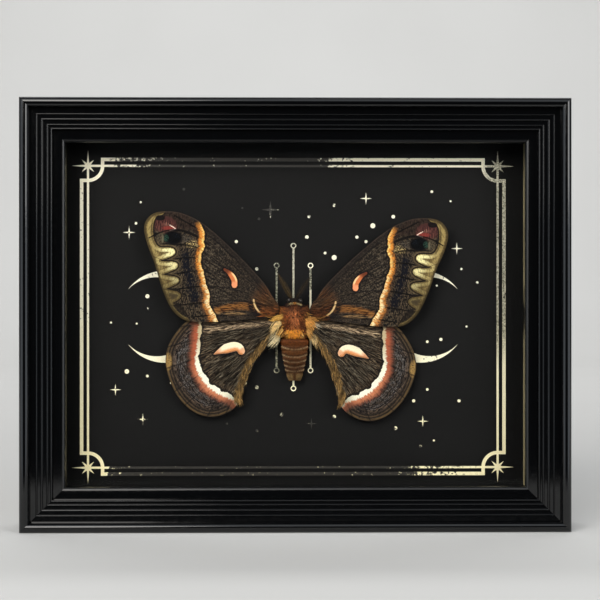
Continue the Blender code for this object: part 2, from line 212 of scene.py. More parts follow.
VEINS = {
    "forewing": (
        ((3.0, 4.2), (15.0, 17.6), (30.0, 31.0), (46.0, 40.2)),
        ((2.5, 3.0), (14.0, 13.6), (26.0, 24.2), (34.1, 30.2), (42.0, 33.3), (46.3, 33.6),
         (52.7, 31.5), (56.0, 31.0)),
        ((24.4, 18.4), (34.0, 25.6), (41.0, 27.6), (46.2, 27.8), (51.8, 28.1)),
        ((23.0, 17.4), (30.0, 21.0), (37.0, 22.3), (44.0, 21.8), (49.4, 20.7), (56.0, 22.6)),
        ((19.4, 12.4), (28.0, 15.6), (37.1, 16.5), (48.0, 14.6), (54.0, 15.4)),
        ((16.0, 8.0), (24.0, 9.6), (32.7, 10.1), (46.2, 8.2), (52.0, 8.4)),
        ((3.0, 1.2), (12.0, 3.6), (22.0, 4.0), (31.1, 3.1), (43.8, 1.5), (48.0, 1.2)),
        ((8.0, -1.9), (18.0, -2.2), (28.0, -2.4), (38.0, -3.6)),
    ),
    "hindwing": (
        ((2.0, 0.6), (14.0, 2.2), (26.0, 1.6), (42.0, -1.4)),
        ((2.0, 0.2), (12.0, -1.6), (24.0, -3.4), (36.0, -7.0), (48.0, -10.6)),
        ((24.0, -9.6), (30.0, -12.4), (38.0, -16.0), (48.0, -20.0)),
        ((18.0, -9.0), (26.0, -16.6), (34.0, -22.6), (44.0, -30.0)),
        ((14.6, -11.6), (20.0, -18.0), (29.3, -26.4), (39.0, -35.6)),
        ((3.0, -2.4), (9.0, -9.0), (17.0, -21.0), (23.6, -29.4), (29.0, -40.2)),
        ((2.0, -3.6), (7.6, -10.6), (13.0, -20.0), (17.0, -29.6), (21.0, -38.6)),
    ),
}

# Fur colours: middle x and z from the middle of the body, how wide and high, colour
THORAX_ZONES = (
    (0.0, 6.0, 6.8, 2.3, (0.035, 0.010, 0.005)),
    (-0.4, 1.4, 2.1, 3.2, (0.60, 0.195, 0.065)),
    (-3.6, -0.8, 1.3, 3.4, (0.26, 0.044, 0.008)),
    (3.6, -1.8, 1.2, 3.0, (0.135, 0.026, 0.006)),
    (-5.9, -1.4, 1.1, 4.4, (0.88, 0.42, 0.09)),
    (5.9, -0.5, 1.1, 4.6, (0.82, 0.40, 0.09)),
)
ARC_ZONES = ((4.2, -6.6, 1.4, 1.2, (1.3, 0.78, 0.24)), (-4.2, -6.0, 1.4, 1.4, (1.2, 0.62, 0.13)))
SHOULDER_ZONES = {
    "left": ((-11.5, 10.5, 4.5, 4.2, (0.095, 0.048, 0.022)), (-9.0, 0.6, 3.0, 1.2, (0.62, 0.30, 0.07)),
             (-6.6, 2.0, 1.0, 3.0, (0.42, 0.17, 0.036))),
    "right": ((11.5, 10.0, 4.5, 4.2, (0.070, 0.036, 0.018)), (9.0, 0.2, 3.0, 1.2, (0.26, 0.120, 0.030)),
              (6.8, 2.0, 1.0, 3.0, (0.15, 0.050, 0.012))),
}
SHOULDER_GROUND = {"left": (0.210, 0.064, 0.015), "right": (0.105, 0.030, 0.007)}
# Brushes of hair at the sides of the body: root, tip, spread, how many locks, colour
TUFTS = {
    "left": (
        ((-6.4, 1.8, 8.6), (-10.2, 0.6, 8.2), 0.60, 20, (0.80, 0.44, 0.10)),
        ((-7.0, -0.7, 8.8), (-9.9, -4.6, 8.4), 0.55, 54, (1.55, 1.06, 0.45)),
        ((-5.4, -3.6, 7.8), (-7.4, -6.6, 6.8), 0.50, 20, (0.75, 0.42, 0.12)),
        ((-7.4, -6.9, 6.8), (-11.0, -10.8, 6.4), 0.46, 32, (0.90, 0.74, 0.45)),
    ),
    "right": (
        ((6.4, 1.8, 8.6), (9.8, 0.8, 8.2), 0.60, 18, (0.60, 0.28, 0.07)),
        ((5.8, 0.4, 8.8), (8.2, -3.6, 8.0), 0.70, 36, (0.80, 0.37, 0.085)),
        ((5.2, -3.6, 7.8), (7.0, -7.4, 6.8), 0.50, 22, (0.80, 0.42, 0.12)),
        ((7.4, -1.2, 7.8), (11.6, -2.6, 7.0), 0.45, 10, (0.50, 0.42, 0.30)),
    ),
}
# Paler places in the fringes of the hindwings
FRINGE_ZONES = {
    "left": ((-9.4, -8.4, 1.6, 2.2, (0.80, 0.68, 0.44)),),
    "right": ((8.2, -8.4, 1.2, 2.2, (0.80, 0.56, 0.26)),),
}
# z, half width, half depth and height of the middle, from the front of the head
HEAD_ROWS = (
    (10.1, 0.9, 0.8, 4.6), (9.8, 1.9, 1.6, 4.6), (9.3, 2.6, 2.0, 4.6), (8.6, 3.0, 2.3, 4.6),
    (7.9, 3.0, 2.4, 4.7), (7.2, 2.4, 2.0, 4.8),
)


# ---------------------------------------------------------------- curves and distances, in mm

def smooth_path(points, step, closed=False):
    """Evenly spaced points on a Catmull-Rom curve through the given ones."""
    knots = [np.array(p, float) for p in points]
    if closed:
        knots = [knots[-1], *knots, knots[0], knots[1]]
    else:
        knots = [2 * knots[0] - knots[1], *knots, 2 * knots[-1] - knots[-2]]
    shares = np.arange(24)[:, None] / 24
    dense = []
    for a, b, c, d in zip(knots, knots[1:], knots[2:], knots[3:]):
        dense.append(0.5 * (2 * b + (c - a) * shares + (2 * a - 5 * b + 4 * c - d) * shares ** 2
                            + (3 * b - a - 3 * c + d) * shares ** 3))
    dense = np.concatenate([*dense, knots[-2][None]])
    run = np.concatenate(([0], np.cumsum(np.linalg.norm(np.diff(dense, axis=0), axis=1))))
    count = max(2, round(run[-1] / step))
    wanted = np.linspace(0, run[-1], count + 1)
    if closed:
        wanted = wanted[:-1]
    return np.stack([np.interp(wanted, run, dense[:, k]) for k in range(dense.shape[1])], axis=1)


def curve_field(points, path, closed=False):
    """Signed distance of points to a path, positive on its left, and how far along it they are."""
    ends = np.roll(path, -1, axis=0) if closed else path[1:]
    starts = path if closed else path[:-1]
    spans = ends - starts
    lengths = np.linalg.norm(spans, axis=1)
    before = np.concatenate(([0], np.cumsum(lengths)[:-1]))
    distance = np.empty(len(points))
    run = np.empty(len(points))
    for first in range(0, len(points), 8000):
        some = slice(first, first + 8000)
        offset = points[some, None] - starts
        share = np.clip((offset * spans).sum(2) / lengths ** 2, 0, 1)
        gap = offset - share[..., None] * spans
        squared = (gap ** 2).sum(2)
        best = squared.argmin(1)
        rows = np.arange(len(best))
        near, span = offset[rows, best], spans[best]
        side = np.sign(span[:, 0] * near[:, 1] - span[:, 1] * near[:, 0])
        distance[some] = side * np.sqrt(squared[rows, best])
        run[some] = before[best] + share[rows, best] * lengths[best]
    return distance, run


def inside(points, outline):
    """Whether each point lies inside a closed outline."""
    x, y = points[:, 0], points[:, 1]
    found = np.zeros(len(points), bool)
    for (x0, y0), (x1, y1) in zip(outline, np.roll(outline, -1, axis=0)):
        if y0 == y1:
            continue
        crosses = (y0 > y) != (y1 > y)
        found ^= crosses & (x < x0 + (y - y0) * (x1 - x0) / (y1 - y0))
    return found


def unit(vectors):
    return vectors / np.maximum(np.linalg.norm(vectors, axis=-1, keepdims=True), ROUNDING)


def ease(values, low, high):
    """0 below low, 1 above high and smooth between."""
    share = np.clip((values - low) / (high - low), 0, 1)
    return share * share * (3 - 2 * share)


# ---------------------------------------------------------------- meshes

class Shell:
    """Collects closed shapes, in mm, that become one mesh object."""

    def __init__(self):
        self.points = []
        self.faces = []
        self.numbers = {}
        self.normals = []
        self.count = 0

    def add(self, points, face_sets, normals=None, **numbers):
        """Adds points with the faces between them; numbers are one value or colour for each point."""
        points = np.asarray(points, float).reshape(-1, 3)
        face_sets = [np.asarray(faces) for faces in face_sets if len(faces)]
        if signed_volume(points, face_sets) < 0:
            face_sets = [faces[:, ::-1] for faces in face_sets]
        self.points.append(points)
        self.normals.append(np.full(points.shape, np.nan) if normals is None else normals)
        self.faces += [faces + self.count for faces in face_sets]
        for name, values in numbers.items():
            self.numbers.setdefault(name, []).append(np.asarray(values, float))
        self.count += len(points)

    def build(self, name, material, slot, *nodes, sharp=None):
        """Makes the object, which rides on the frame and stands for the nodes."""
        mesh = bpy.data.meshes.new(name)
        points = np.concatenate(self.points) * MM
        corners = np.concatenate([faces.ravel() for faces in self.faces]).astype(np.int32)
        sizes = np.concatenate([np.full(len(f), f.shape[1], np.int32) for f in self.faces])
        mesh.vertices.add(len(points))
        mesh.vertices.foreach_set("co", points.astype(np.float32).ravel())
        mesh.loops.add(len(corners))
        mesh.loops.foreach_set("vertex_index", corners)
        mesh.polygons.add(len(sizes))
        starts = np.concatenate(([0], np.cumsum(sizes)[:-1])).astype(np.int32)
        mesh.polygons.foreach_set("loop_start", starts)
        mesh.update(calc_edges=True)
        mesh.shade_smooth()
        if sharp is not None:
            mesh.set_sharp_from_angle(angle=math.radians(sharp))
        for label, values in self.numbers.items():
            add_numbers(mesh, label, np.concatenate(values))
        set_normals(mesh, np.concatenate(self.normals))
        mesh.materials.append(material)
        item = add_object(name, mesh)
        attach(item, BODY)
        if nodes:
            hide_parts(*nodes)


def add_object(name, data):
    item = bpy.data.objects.new(name, data)
    bpy.context.scene.collection.objects.link(item)
    return item


def signed_volume(points, face_sets):
    """Six times the volume that faces enclose; it is below 0 if they face inwards."""
    points = points - points.mean(axis=0)
    total = 0.0
    for faces in face_sets:
        for k in range(1, faces.shape[1] - 1):
            first, second, third = (points[faces[:, c]] for c in (0, k, k + 1))
            total += (first * np.cross(second, third)).sum()
    return total


def set_normals(mesh, normals):
    """Gives the points that have one their own shading normal; the others keep the mesh's."""
    plain = np.isnan(normals[:, 0])
    if plain.all():
        return
    own = np.empty(normals.size, np.float32)
    mesh.vertex_normals.foreach_get("vector", own)
    normals[plain] = own.reshape(-1, 3)[plain]
    mesh.normals_split_custom_set_from_vertices(normals.tolist())


def add_numbers(mesh, name, values):
    """Stores one number, one vector or one colour for each point of a mesh."""
    values = values.astype(np.float32)
    if values.ndim == 1:
        mesh.attributes.new(name, "FLOAT", "POINT").data.foreach_set("value", values)
    else:
        mesh.attributes.new(name, "FLOAT_VECTOR", "POINT").data.foreach_set("vector", values.ravel())


def loft_faces(rows, columns, closed_rows=False):
    """Quads of a grid of points whose columns close on themselves, as do its rows if asked."""
    row, column = np.meshgrid(np.arange(rows if closed_rows else rows - 1), np.arange(columns),
                              indexing="ij")
    after_row, after_column = (row + 1) % rows, (column + 1) % columns
    corners = (row * columns + column, row * columns + after_column,
               after_row * columns + after_column, after_row * columns + column)
    return np.stack([c.ravel() for c in corners], axis=1)


def fan_faces(ring, hub, flip=False):
    """Triangles from a ring of point numbers to one hub."""
    ring = np.asarray(ring)
    after = np.roll(ring, -1)
    hubs = np.full(len(ring), hub)
    return np.stack((after, ring, hubs) if flip else (ring, after, hubs), axis=1)


def loft(shell, rings, **numbers):
    """A closed skin through rings of points that turn anticlockwise seen from the last one."""
    rings = np.asarray(rings, float)
    rows, columns = rings.shape[:2]
    hubs = rings[[0, -1]].mean(axis=1)
    points = np.concatenate([rings.reshape(-1, 3), hubs])
    total = rows * columns
    first = fan_faces(np.arange(columns), total, flip=True)
    last = fan_faces(np.arange(total - columns, total), total + 1)
    shell.add(points, [loft_faces(rows, columns), first, last],
              **{name: np.broadcast_to(value, (len(points), *np.shape(value)))
                 for name, value in numbers.items()})


def strands(shell, roots, tips, bows, radii, tints, rings=2, facing=(0.0, -1.0, 0.0), root_shade=0.55):
    """Closed three-sided hairs from roots to tips; a bow pushes the middle of a hair sideways.

    They are shaded as if they faced mostly the way that the skin under them does, and their tint darkens
    towards the root as painted shade deep in the fur.
    """
    along = unit(tips - roots)
    upright = np.abs(along[:, 1:2]) > 0.9
    across = unit(np.cross(along, np.where(upright, (1.0, 0.0, 0.0), (0.0, 1.0, 0.0))))
    other = np.cross(along, across)
    stations = []
    outwards = []
    shade = []
    for ring in range(rings):
        share = ring / rings
        centre = roots + (tips - roots) * share + bows * (4 * share * (1 - share))
        radius = (radii * (1 - share) ** 0.6)[:, None]
        for corner in range(3):
            angle = 2 * math.pi * corner / 3
            outwards.append(math.cos(angle) * across + math.sin(angle) * other)
            stations.append(centre + radius * outwards[-1])
            # Painted shade: the tint darkens towards the root, deep in the fur
            shade.append(root_shade + (1 - root_shade) * share)
    stations.append(tips)
    outwards.append(0.5 * along)
    shade.append(1.0)
    facing = np.broadcast_to(facing, along.shape)[:, None]
    normals = unit(facing + 0.5 * np.stack(outwards, axis=1))
    points = np.stack(stations, axis=1)
    each = points.shape[1]
    tint = tints[:, None] * np.array(shade)[None, :, None]
    quads = [
        (3 * ring + c, 3 * ring + (c + 1) % 3, 3 * ring + 3 + (c + 1) % 3, 3 * ring + 3 + c)
        for ring in range(rings - 1) for c in range(3)
    ]
    last = 3 * (rings - 1)
    triangles = [(last + c, last + (c + 1) % 3, each - 1) for c in range(3)] + [(2, 1, 0)]
    starts = (np.arange(len(roots)) * each)[:, None, None]
    face_sets = [(starts + np.array(kind)).reshape(-1, len(kind[0])) for kind in (quads, triangles)
                 if kind]
    shell.add(points.reshape(-1, 3), face_sets, normals.reshape(-1, 3), tint=tint.reshape(-1, 3))


# ---------------------------------------------------------------- node graphs

class Field:
    """A number that varies over a surface: a socket of a node graph that can be reckoned with."""

    def __init__(self, graph, socket):
        self.graph = graph
        self.socket = socket

    def __add__(self, other):
        return self.graph.reckon("ADD", self, other)

    def __sub__(self, other):
        return self.graph.reckon("SUBTRACT", self, other)

    def __rsub__(self, other):
        return self.graph.reckon("SUBTRACT", other, self)

    def __mul__(self, other):
        return self.graph.reckon("MULTIPLY", self, other)

    def __truediv__(self, other):
        return self.graph.reckon("DIVIDE", self, other)

    def __abs__(self):
        return self.graph.reckon("ABSOLUTE", self)

    __radd__ = __add__
    __rmul__ = __mul__


class Graph:
    """The node graph of one material, written as sums of fields and layers of colour."""

    def __init__(self, name):
        self.material = bpy.data.materials.new(name)
        self.material.use_nodes = True
        self.tree = self.material.node_tree
        self.shader = self.tree.nodes["Principled BSDF"]
        self.colour = None

    def node(self, kind, **settings):
        made = self.tree.nodes.new(kind)
        for name, value in settings.items():
            setattr(made, name, value)
        return made

    def feed(self, socket, value):
        if isinstance(value, Field):
            self.tree.links.new(value.socket, socket)
        elif isinstance(value, (tuple, list)) and len(value) == 3 and socket.type == "RGBA":
            socket.default_value = (*value, 1.0)
        else:
            socket.default_value = value

    def made(self, kind, output, inputs, **settings):
        """The output of a new node whose inputs, by number or name, are fed."""
        node = self.node(kind, **settings)
        for name, value in inputs.items():
            self.feed(node.inputs[name], value)
        return Field(self, node.outputs[output])

    def reckon(self, operation, *values):
        return self.made("ShaderNodeMath", 0, dict(enumerate(values)), operation=operation)

    def vector(self, operation, vector, other, socket=1):
        return self.made("ShaderNodeVectorMath", 0, {0: vector, socket: other}, operation=operation)

    def stored(self, name, output="Fac"):
        """A number stored at the mesh's points."""
        return self.made("ShaderNodeAttribute", output, {}, attribute_name=name)

    def stored_vector(self, name):
        return self.stored(name, "Vector")

    def place(self):
        """Where the surface is in the object, in mm."""
        return self.stretch(self.made("ShaderNodeTexCoord", "Object", {}), (1 / MM, 1 / MM, 1 / MM))

    def stretch(self, vector, factors):
        return self.vector("MULTIPLY", vector, factors)

    def scaled(self, colour, factor):
        return self.vector("SCALE", colour, factor, "Scale")

    def shifted(self, vector, x, y):
        return self.vector("ADD", vector, self.join(x, y))

    def join(self, x, y):
        """Two fields as the first two numbers of a vector."""
        return self.made("ShaderNodeCombineXYZ", 0, {0: x, 1: y})

    def parts(self, vector):
        made = self.node("ShaderNodeSeparateXYZ")
        self.feed(made.inputs[0], vector)
        return [Field(self, made.outputs[k]) for k in range(3)]

    def noise(self, vector, scale, detail=2.0, roughness=0.5, twist=0.0):
        inputs = {"Vector": vector, "Scale": scale, "Detail": detail, "Roughness": roughness,
                  "Distortion": twist}
        return self.made("ShaderNodeTexNoise", 0, inputs)

    def streaky(self, vector, across, along, twist=0.0, roughness=0.6):
        """Fine noise, squeezed by its own factor across and along a vector's first two numbers."""
        return self.noise(self.stretch(vector, (across, along, 1.0)), 1.0, 2, roughness, twist)

    def cells(self, vector, scale):
        return self.made("ShaderNodeTexVoronoi", "Distance", {"Vector": vector, "Scale": scale})

    def step(self, field, edge, soft=0.2):
        """0 below the edge and 1 above it, over a soft width."""
        inputs = {"Value": field, "From Min": edge - soft / 2, "From Max": edge + soft / 2}
        return self.made("ShaderNodeMapRange", "Result", inputs, interpolation_type="SMOOTHSTEP")

    def below(self, field, edge, soft=0.2):
        return 1.0 - self.step(field, edge, soft)

    def between(self, field, low, high, soft=0.2):
        return self.step(field, low, soft) * self.below(field, high, soft)

    def spot(self, vector, centre, radii, soft=0.3):
        """1 inside an ellipse of a vector's first two numbers, 0 outside it."""
        x, y, _ = self.parts(vector)
        across, along = (x - centre[0]) / radii[0], (y - centre[1]) / radii[1]
        return self.below(across * across + along * along, 1.0, soft)

    def spots(self, vector, rows):
        """Spots of several strengths, added up."""
        return sum(self.spot(vector, centre, radii, soft) * strength
                   for centre, radii, soft, strength in rows)

    def span(self, field, low, high, start=0.0, end=1.0):
        """Maps a field from one range onto another."""
        inputs = {"Value": field, "From Min": start, "From Max": end, "To Min": low, "To Max": high}
        return self.made("ShaderNodeMapRange", "Result", inputs)

    def blend(self, under, over, mask):
        inputs = {"Factor": mask, 6: under, 7: over}
        return self.made("ShaderNodeMix", 2, inputs, data_type="RGBA", clamp_factor=True)

    def layer(self, colour, mask):
        """Lays a colour over what is there where the mask is 1."""
        self.colour = self.blend(self.colour, colour, mask)

    def shadow(self, mask, depth):
        """Darkens what is there where the mask is 1."""
        self.layer((0.0, 0.0, 0.0), mask * depth)

    def bump(self, height, depth_mm, strength=1.0):
        made = self.node("ShaderNodeBump")
        self.feed(made.inputs["Height"], height)
        made.inputs["Distance"].default_value = depth_mm * MM
        made.inputs["Strength"].default_value = strength
        self.tree.links.new(made.outputs["Normal"], self.shader.inputs["Normal"])

    def finish(self, **inputs):
        """Feeds the shader; a plain number is set on its own socket."""
        if self.colour is not None:
            self.feed(self.shader.inputs["Base Color"], self.colour)
        for name, value in inputs.items():
            self.feed(self.shader.inputs[name.replace("_", " ")], value)
        return self.material


# ---------------------------------------------------------------- materials of the frame

def lacquer_material():
    """Satin black lacquer over wood, with faint brush marks, a little dust and a rubbed inner lip."""
    g = Graph("black_lacquer")
    place = g.place()
    cloud = g.noise(place, 0.05, detail=3)
    marks = g.noise(place, 0.5, detail=3)
    dust = g.step(g.noise(place, 1.9, detail=2), 0.78, 0.04)
    g.colour = g.blend((0.0005, 0.0006, 0.0008), (0.0009, 0.0010, 0.0013), cloud)
    g.layer((0.030, 0.033, 0.036), dust * 0.35)
    g.bump(marks, 0.03, 0.07)
    x, _, z = g.parts(place)
    aside = abs(x) - (HALF_WIDTH - SIGHT_WIDTH)
    above = abs(z - OUTER_HEIGHT / 2) - (OUTER_HEIGHT / 2 - SIGHT_WIDTH)
    rubbed = g.below(g.reckon("MAXIMUM", aside, above), 1.3, 0.4)
    roughness = g.span(marks, 0.08, 0.13, 0.3, 0.7) + dust * 0.1 + rubbed * 0.24
    return g.finish(Roughness=roughness, Specular_IOR_Level=0.50)


def glass_material():
    """Clear picture glass with a low, anti-reflecting gloss."""
    g = Graph("clear_glass")
    clear = g.node("ShaderNodeBsdfTransparent")
    clear.inputs["Color"].default_value = (0.985, 0.992, 0.988, 1.0)
    gloss = g.node("ShaderNodeBsdfGlossy")
    gloss.inputs["Roughness"].default_value = 0.02
    edge = g.node("ShaderNodeFresnel")
    edge.inputs["IOR"].default_value = 1.12
    both = g.node("ShaderNodeMixShader")
    for socket, node in zip(both.inputs, (edge, clear, gloss)):
        g.tree.links.new(node.outputs[0], socket)
    g.tree.nodes.remove(g.shader)
    g.tree.links.new(both.outputs[0], g.tree.nodes["Material Output"].inputs["Surface"])
    return g.material


def card_material():
    """Matt black card with a faint tooth, with painted shade that darkens it towards the bottom and a
    painted shadow of the frame along its edges.
    """
    g = Graph("black_card")
    place = g.place()
    tooth = g.noise(place, 3.2, detail=4, roughness=0.65)
    cloud = g.noise(place, 0.03, detail=2)
    x, _, z = g.parts(place)
    inset = g.reckon("MINIMUM", PAINTED_SHADOW_CLEAR[0] - abs(x), z - (OUTER_HEIGHT / 2 - PAINTED_SHADOW_CLEAR[1]))
    g.colour = g.blend((0.0112, 0.0107, 0.0105), (0.0134, 0.0129, 0.0127), cloud)
    # Painted shade: darker towards the bottom, offsetting the light that the floor throws up
    g.colour = g.scaled(g.colour, g.span(z, 0.78, 1.0, 25.0, 140.0))
    g.layer((0.022, 0.022, 0.022), g.step(tooth, 0.66, 0.12) * 0.5)
    # Painted shadow of the frame along the card's edges
    g.shadow(g.below(inset, 7.0, 12.0), 0.5)
    g.bump(tooth, 0.06, 0.35)
    return g.finish(Roughness=g.span(tooth, 0.80, 0.95), Specular_IOR_Level=0.05)


def fillet_material():
    """The black strips between the pane and the card, with a painted reflection of the foil on their inner
    faces, stronger towards the right.
    """
    g = Graph("fillet_black")
    place = g.place()
    x, y, _ = g.parts(place)
    grain = g.noise(g.stretch(place, (0.3, 2.0, 0.3)), 1.0, detail=3)
    g.colour = g.blend((0.0050, 0.0050, 0.0052), (0.0085, 0.0085, 0.0089), grain)
    # Painted reflection of the gold foil: a thin gold line on each inner face
    painted_foil_reflection = g.between(abs(x), FILLET_FACE - 0.1, FILLET_FACE + 0.05, 0.02) * g.step(y, 3.4, 1.5)
    strength = g.span(x, 0.35, 1.0, -FILLET_FACE, FILLET_FACE) * g.step(g.noise(place, 0.05), 0.42, 0.3)
    g.layer((0.50, 0.42, 0.24), painted_foil_reflection * strength)
    g.bump(grain, 0.04, 0.15)
    return g.finish(Roughness=g.span(grain, 0.22, 0.3), Specular_IOR_Level=0.4)


def foil_material():
    """Pale gold foil, hot-stamped: cream, yellower low down, with painted reflections: dark and mottled
    where it mirrors the dim room, grey in spots, and bright at the corner stars and low at the sides.
    """
    g = Graph("gold_foil")
    place = g.place()
    x, _, z = g.parts(place)
    across, up = x - PRINT_X, z - PRINT_Z
    mottle = g.noise(place, 0.85, detail=2, roughness=0.7)
    patches = g.noise(place, 0.05, detail=2)
    flat = g.join(across, up)
    pits = g.noise(place, 1.5, detail=2, roughness=0.7)
    blots = g.noise(place, 0.19, detail=1)
    corner = g.spot(g.join(abs(across), abs(up)), (STAR_X, STAR_Z), (9.0, 9.0), 0.4)
    # Painted reflection: how far the foil dims where it mirrors the dark room, less at the corner stars and
    # low at the sides, in uneven patches
    dull = g.spots(flat, DIM_REFLECTIONS) * (1.0 - corner) * 0.95 - corner * 0.3 - g.spots(flat, BRIGHT_REFLECTIONS) * 0.5
    dull += (patches - 0.5) * 0.5 + (blots - 0.5) * 0.6
    low = g.span(up + patches * 40.0, 1.0, 0.0, -50.0, 40.0)
    g.colour = g.blend((0.97, 0.89, 0.69), (0.97, 0.86, 0.53), low)
    # Painted reflection: greenish grey spots on the rods, the right-hand line and two dots
    g.layer((0.085, 0.082, 0.052), g.spots(flat, GREY_REFLECTIONS) * g.span(pits, 1.5, 0.5, 0.35, 0.65))
    # Painted reflection: gold mottles low down, and dark mottles where the foil dims
    g.layer((0.60, 0.44, 0.17), g.step(mottle - dull * 0.30, 0.52, 0.16) * low * 0.18)
    g.layer((0.024, 0.020, 0.016), g.below(mottle - dull * 0.42 + 0.17, 0.50, 0.12))
    g.bump(mottle, 0.08, 0.3)
    return g.finish(Metallic=0.06, Roughness=g.span(mottle, 0.34, 0.5, 0.3, 0.7))


def fibreboard_material():
    """Bare hardboard: pressed brown fibres under a faint sheen."""
    g = Graph("fibreboard")
    place = g.place()
    fibres = g.noise(g.stretch(place, (1.0, 1.0, 3.0)), 1.3, detail=5, roughness=0.7, twist=1.5)
    flakes = g.cells(g.stretch(place, (0.6, 1.0, 1.0)), 0.8)
    cloud = g.noise(place, 0.03, detail=3)
    g.colour = g.blend((0.150, 0.078, 0.036), (0.230, 0.132, 0.068), cloud)
    g.layer((0.320, 0.205, 0.115), g.step(fibres, 0.62, 0.1) * 0.7)
    g.layer((0.070, 0.034, 0.015), g.step(flakes, 0.72, 0.25) * 0.5)
    g.bump(fibres + flakes * 0.4, 0.15, 0.5)
    return g.finish(Roughness=g.span(fibres, 0.58, 0.86, 0.3, 0.7), Specular_IOR_Level=0.3)


def eye_material():
    """Dark, slightly glossy eyes with a fine grain of facets."""
    g = Graph("eye")
    facets = g.cells(g.place(), 9.0)
    g.colour = g.blend((0.010, 0.007, 0.005), (0.030, 0.020, 0.014), facets)
    g.bump(facets, 0.02, 0.5)
    return g.finish(Roughness=g.span(facets, 0.22, 0.4), Specular_IOR_Level=0.5)


def steel_material():
    """Zinc-plated steel, faintly brushed, with dull patches."""
    g = Graph("zinc_steel")
    place = g.place()
    brushed = g.noise(g.stretch(place, (0.4, 1.0, 9.0)), 1.4, detail=4)
    patches = g.noise(place, 0.4, detail=3)
    g.colour = g.blend((0.46, 0.47, 0.49), (0.66, 0.66, 0.65), patches)
    g.layer((0.30, 0.27, 0.22), g.step(g.noise(place, 0.9, detail=4), 0.66, 0.08) * 0.5)
    g.bump(brushed, 0.03, 0.4)
    return g.finish(Metallic=1.0, Roughness=g.span(brushed, 0.26, 0.44, 0.3, 0.7))


# ---------------------------------------------------------------- moulding

def arc(centre, radii, start, end, steps):
    """Profile points on an arc; 0 degrees points inwards over the face and 90 to the front."""
    angles = [math.radians(start + (end - start) * i / steps) for i in range(steps + 1)]
    return [(centre[0] + radii[0] * math.cos(a), centre[1] - radii[1] * math.sin(a)) for a in angles]


def rail_profile():
    """The moulding's section, finer than the solid's but on the same curves."""
    back = BACK_Y - FRONT_Y
    points = [(0.0, back)]
    points += arc(BEAD_RADII, BEAD_RADII, 180, 0, 36)
    for start, end, centre, radii, sides in STEPS:
        points += [start, end] + arc(centre, radii, 180, 0, sides)
    points += [tuple(point) for point in smooth_path(LIP, 0.2)]
    return points + [(LIP_EDGE, LIP_BACK), (REBATE_WIDTH, LIP_BACK), (REBATE_WIDTH, back)]


def build_moulding(lacquer):
    """Four rails with mitred ends. Each is drawn along X with its outer side at 0, then turned."""
    width = 2 * HALF_WIDTH
    middle_z = OUTER_HEIGHT / 2
    places = {
        "top": (width, 0, OUTER_HEIGHT, 0),
        "bottom": (width, 0, 0, 180),
        "left": (OUTER_HEIGHT, -HALF_WIDTH, middle_z, -90),
        "right": (OUTER_HEIGHT, HALF_WIDTH, middle_z, 90),
    }
    profile = rail_profile()
    count = len(profile)
    for side, (length, x0, z0, turn) in places.items():
        turned = math.radians(turn)
        points = []
        for sign in (-1, 1):
            for u, v in profile:
                x, z = sign * (length / 2 - u - MITRE_GAP / 2), -u
                points.append((x0 + x * math.cos(turned) + z * math.sin(turned), FRONT_Y + v,
                               z0 - x * math.sin(turned) + z * math.cos(turned)))
        shell = Shell()
        ends = [np.arange(count)[None, :], np.arange(2 * count - 1, count - 1, -1)[None, :]]
        shell.add(points, [loft_faces(2, count)[:, ::-1], *ends])
        shell.build(f"moulding_{side}", lacquer, "black_lacquer", f"rail_{side}", sharp=32)


# ---------------------------------------------------------------- foil

def on_card(points, lift):
    """Print points as points in front of the card."""
    points = np.asarray(points, float)
    y = np.full(len(points), CARD_Y - lift)
    return np.stack((PRINT_X + points[:, 0], y, PRINT_Z + points[:, 1]), axis=1)


def add_plate(shell, outline, centre, lift=FOIL_THICKNESS):
    """A thin plate of an outline that is star-shaped about its centre."""
    outline = np.asarray(outline, float) + centre
    count = len(outline)
    points = np.concatenate([on_card(outline, lift), on_card(outline, 0.0),
                             on_card([centre], lift), on_card([centre], 0.0)])
    ring = np.arange(count)
    front = fan_faces(ring, 2 * count)
    back = fan_faces(ring + count, 2 * count + 1, flip=True)
    shell.add(points, [front, back, loft_faces(2, count)[:, ::-1]])


def add_ribbon(shell, path, width, closed=False, lift=FOIL_THICKNESS):
    """A thin strip along a path, mitred at its corners; width is one number or one for each point."""
    path = np.asarray(path, float)
    forward = unit(np.roll(path, -1, axis=0) - path)
    if not closed:
        forward[-1] = forward[-2]
    backward = np.roll(forward, 1, axis=0)
    if not closed:
        backward[0] = forward[0]
    after = np.stack((-forward[:, 1], forward[:, 0]), axis=1)
    before = np.stack((-backward[:, 1], backward[:, 0]), axis=1)
    mitres = (after + before) / (1 + (after * before).sum(1))[:, None]
    offset = mitres * (np.asarray(width, float) * 0.5 * np.ones(len(path)))[:, None]
    left, right = path + offset, path - offset
    corners = (on_card(right, lift), on_card(right, 0.0), on_card(left, 0.0), on_card(left, lift))
    faces = [loft_faces(len(path), 4, closed_rows=closed)]
    if not closed:
        last = 4 * (len(path) - 1)
        faces.append(np.array([(3, 2, 1, 0), (last, last + 1, last + 2, last + 3)]))
    shell.add(np.stack(corners, axis=1), faces)


def circle(radius, sides=28, start=0.0, end=360.0):
    """Points on a circle; a full one leaves out its last point, which is its first."""
    full = abs(end - start) >= 360
    angles = np.radians(np.linspace(start, end, sides, endpoint=not full))
    return radius * np.stack((np.cos(angles), np.sin(angles)), axis=1)


def star_outline(reaches, waist):
    """A star whose points have these reaches, anticlockwise from +X, with a narrow waist between."""
    outline = []
    for number, reach in enumerate(reaches):
        for share, radius in ((0.0, reach), (0.5, waist)):
            angle = 2 * math.pi * (number + share) / len(reaches)
            outline.append((radius * math.cos(angle), radius * math.sin(angle)))
    return outline


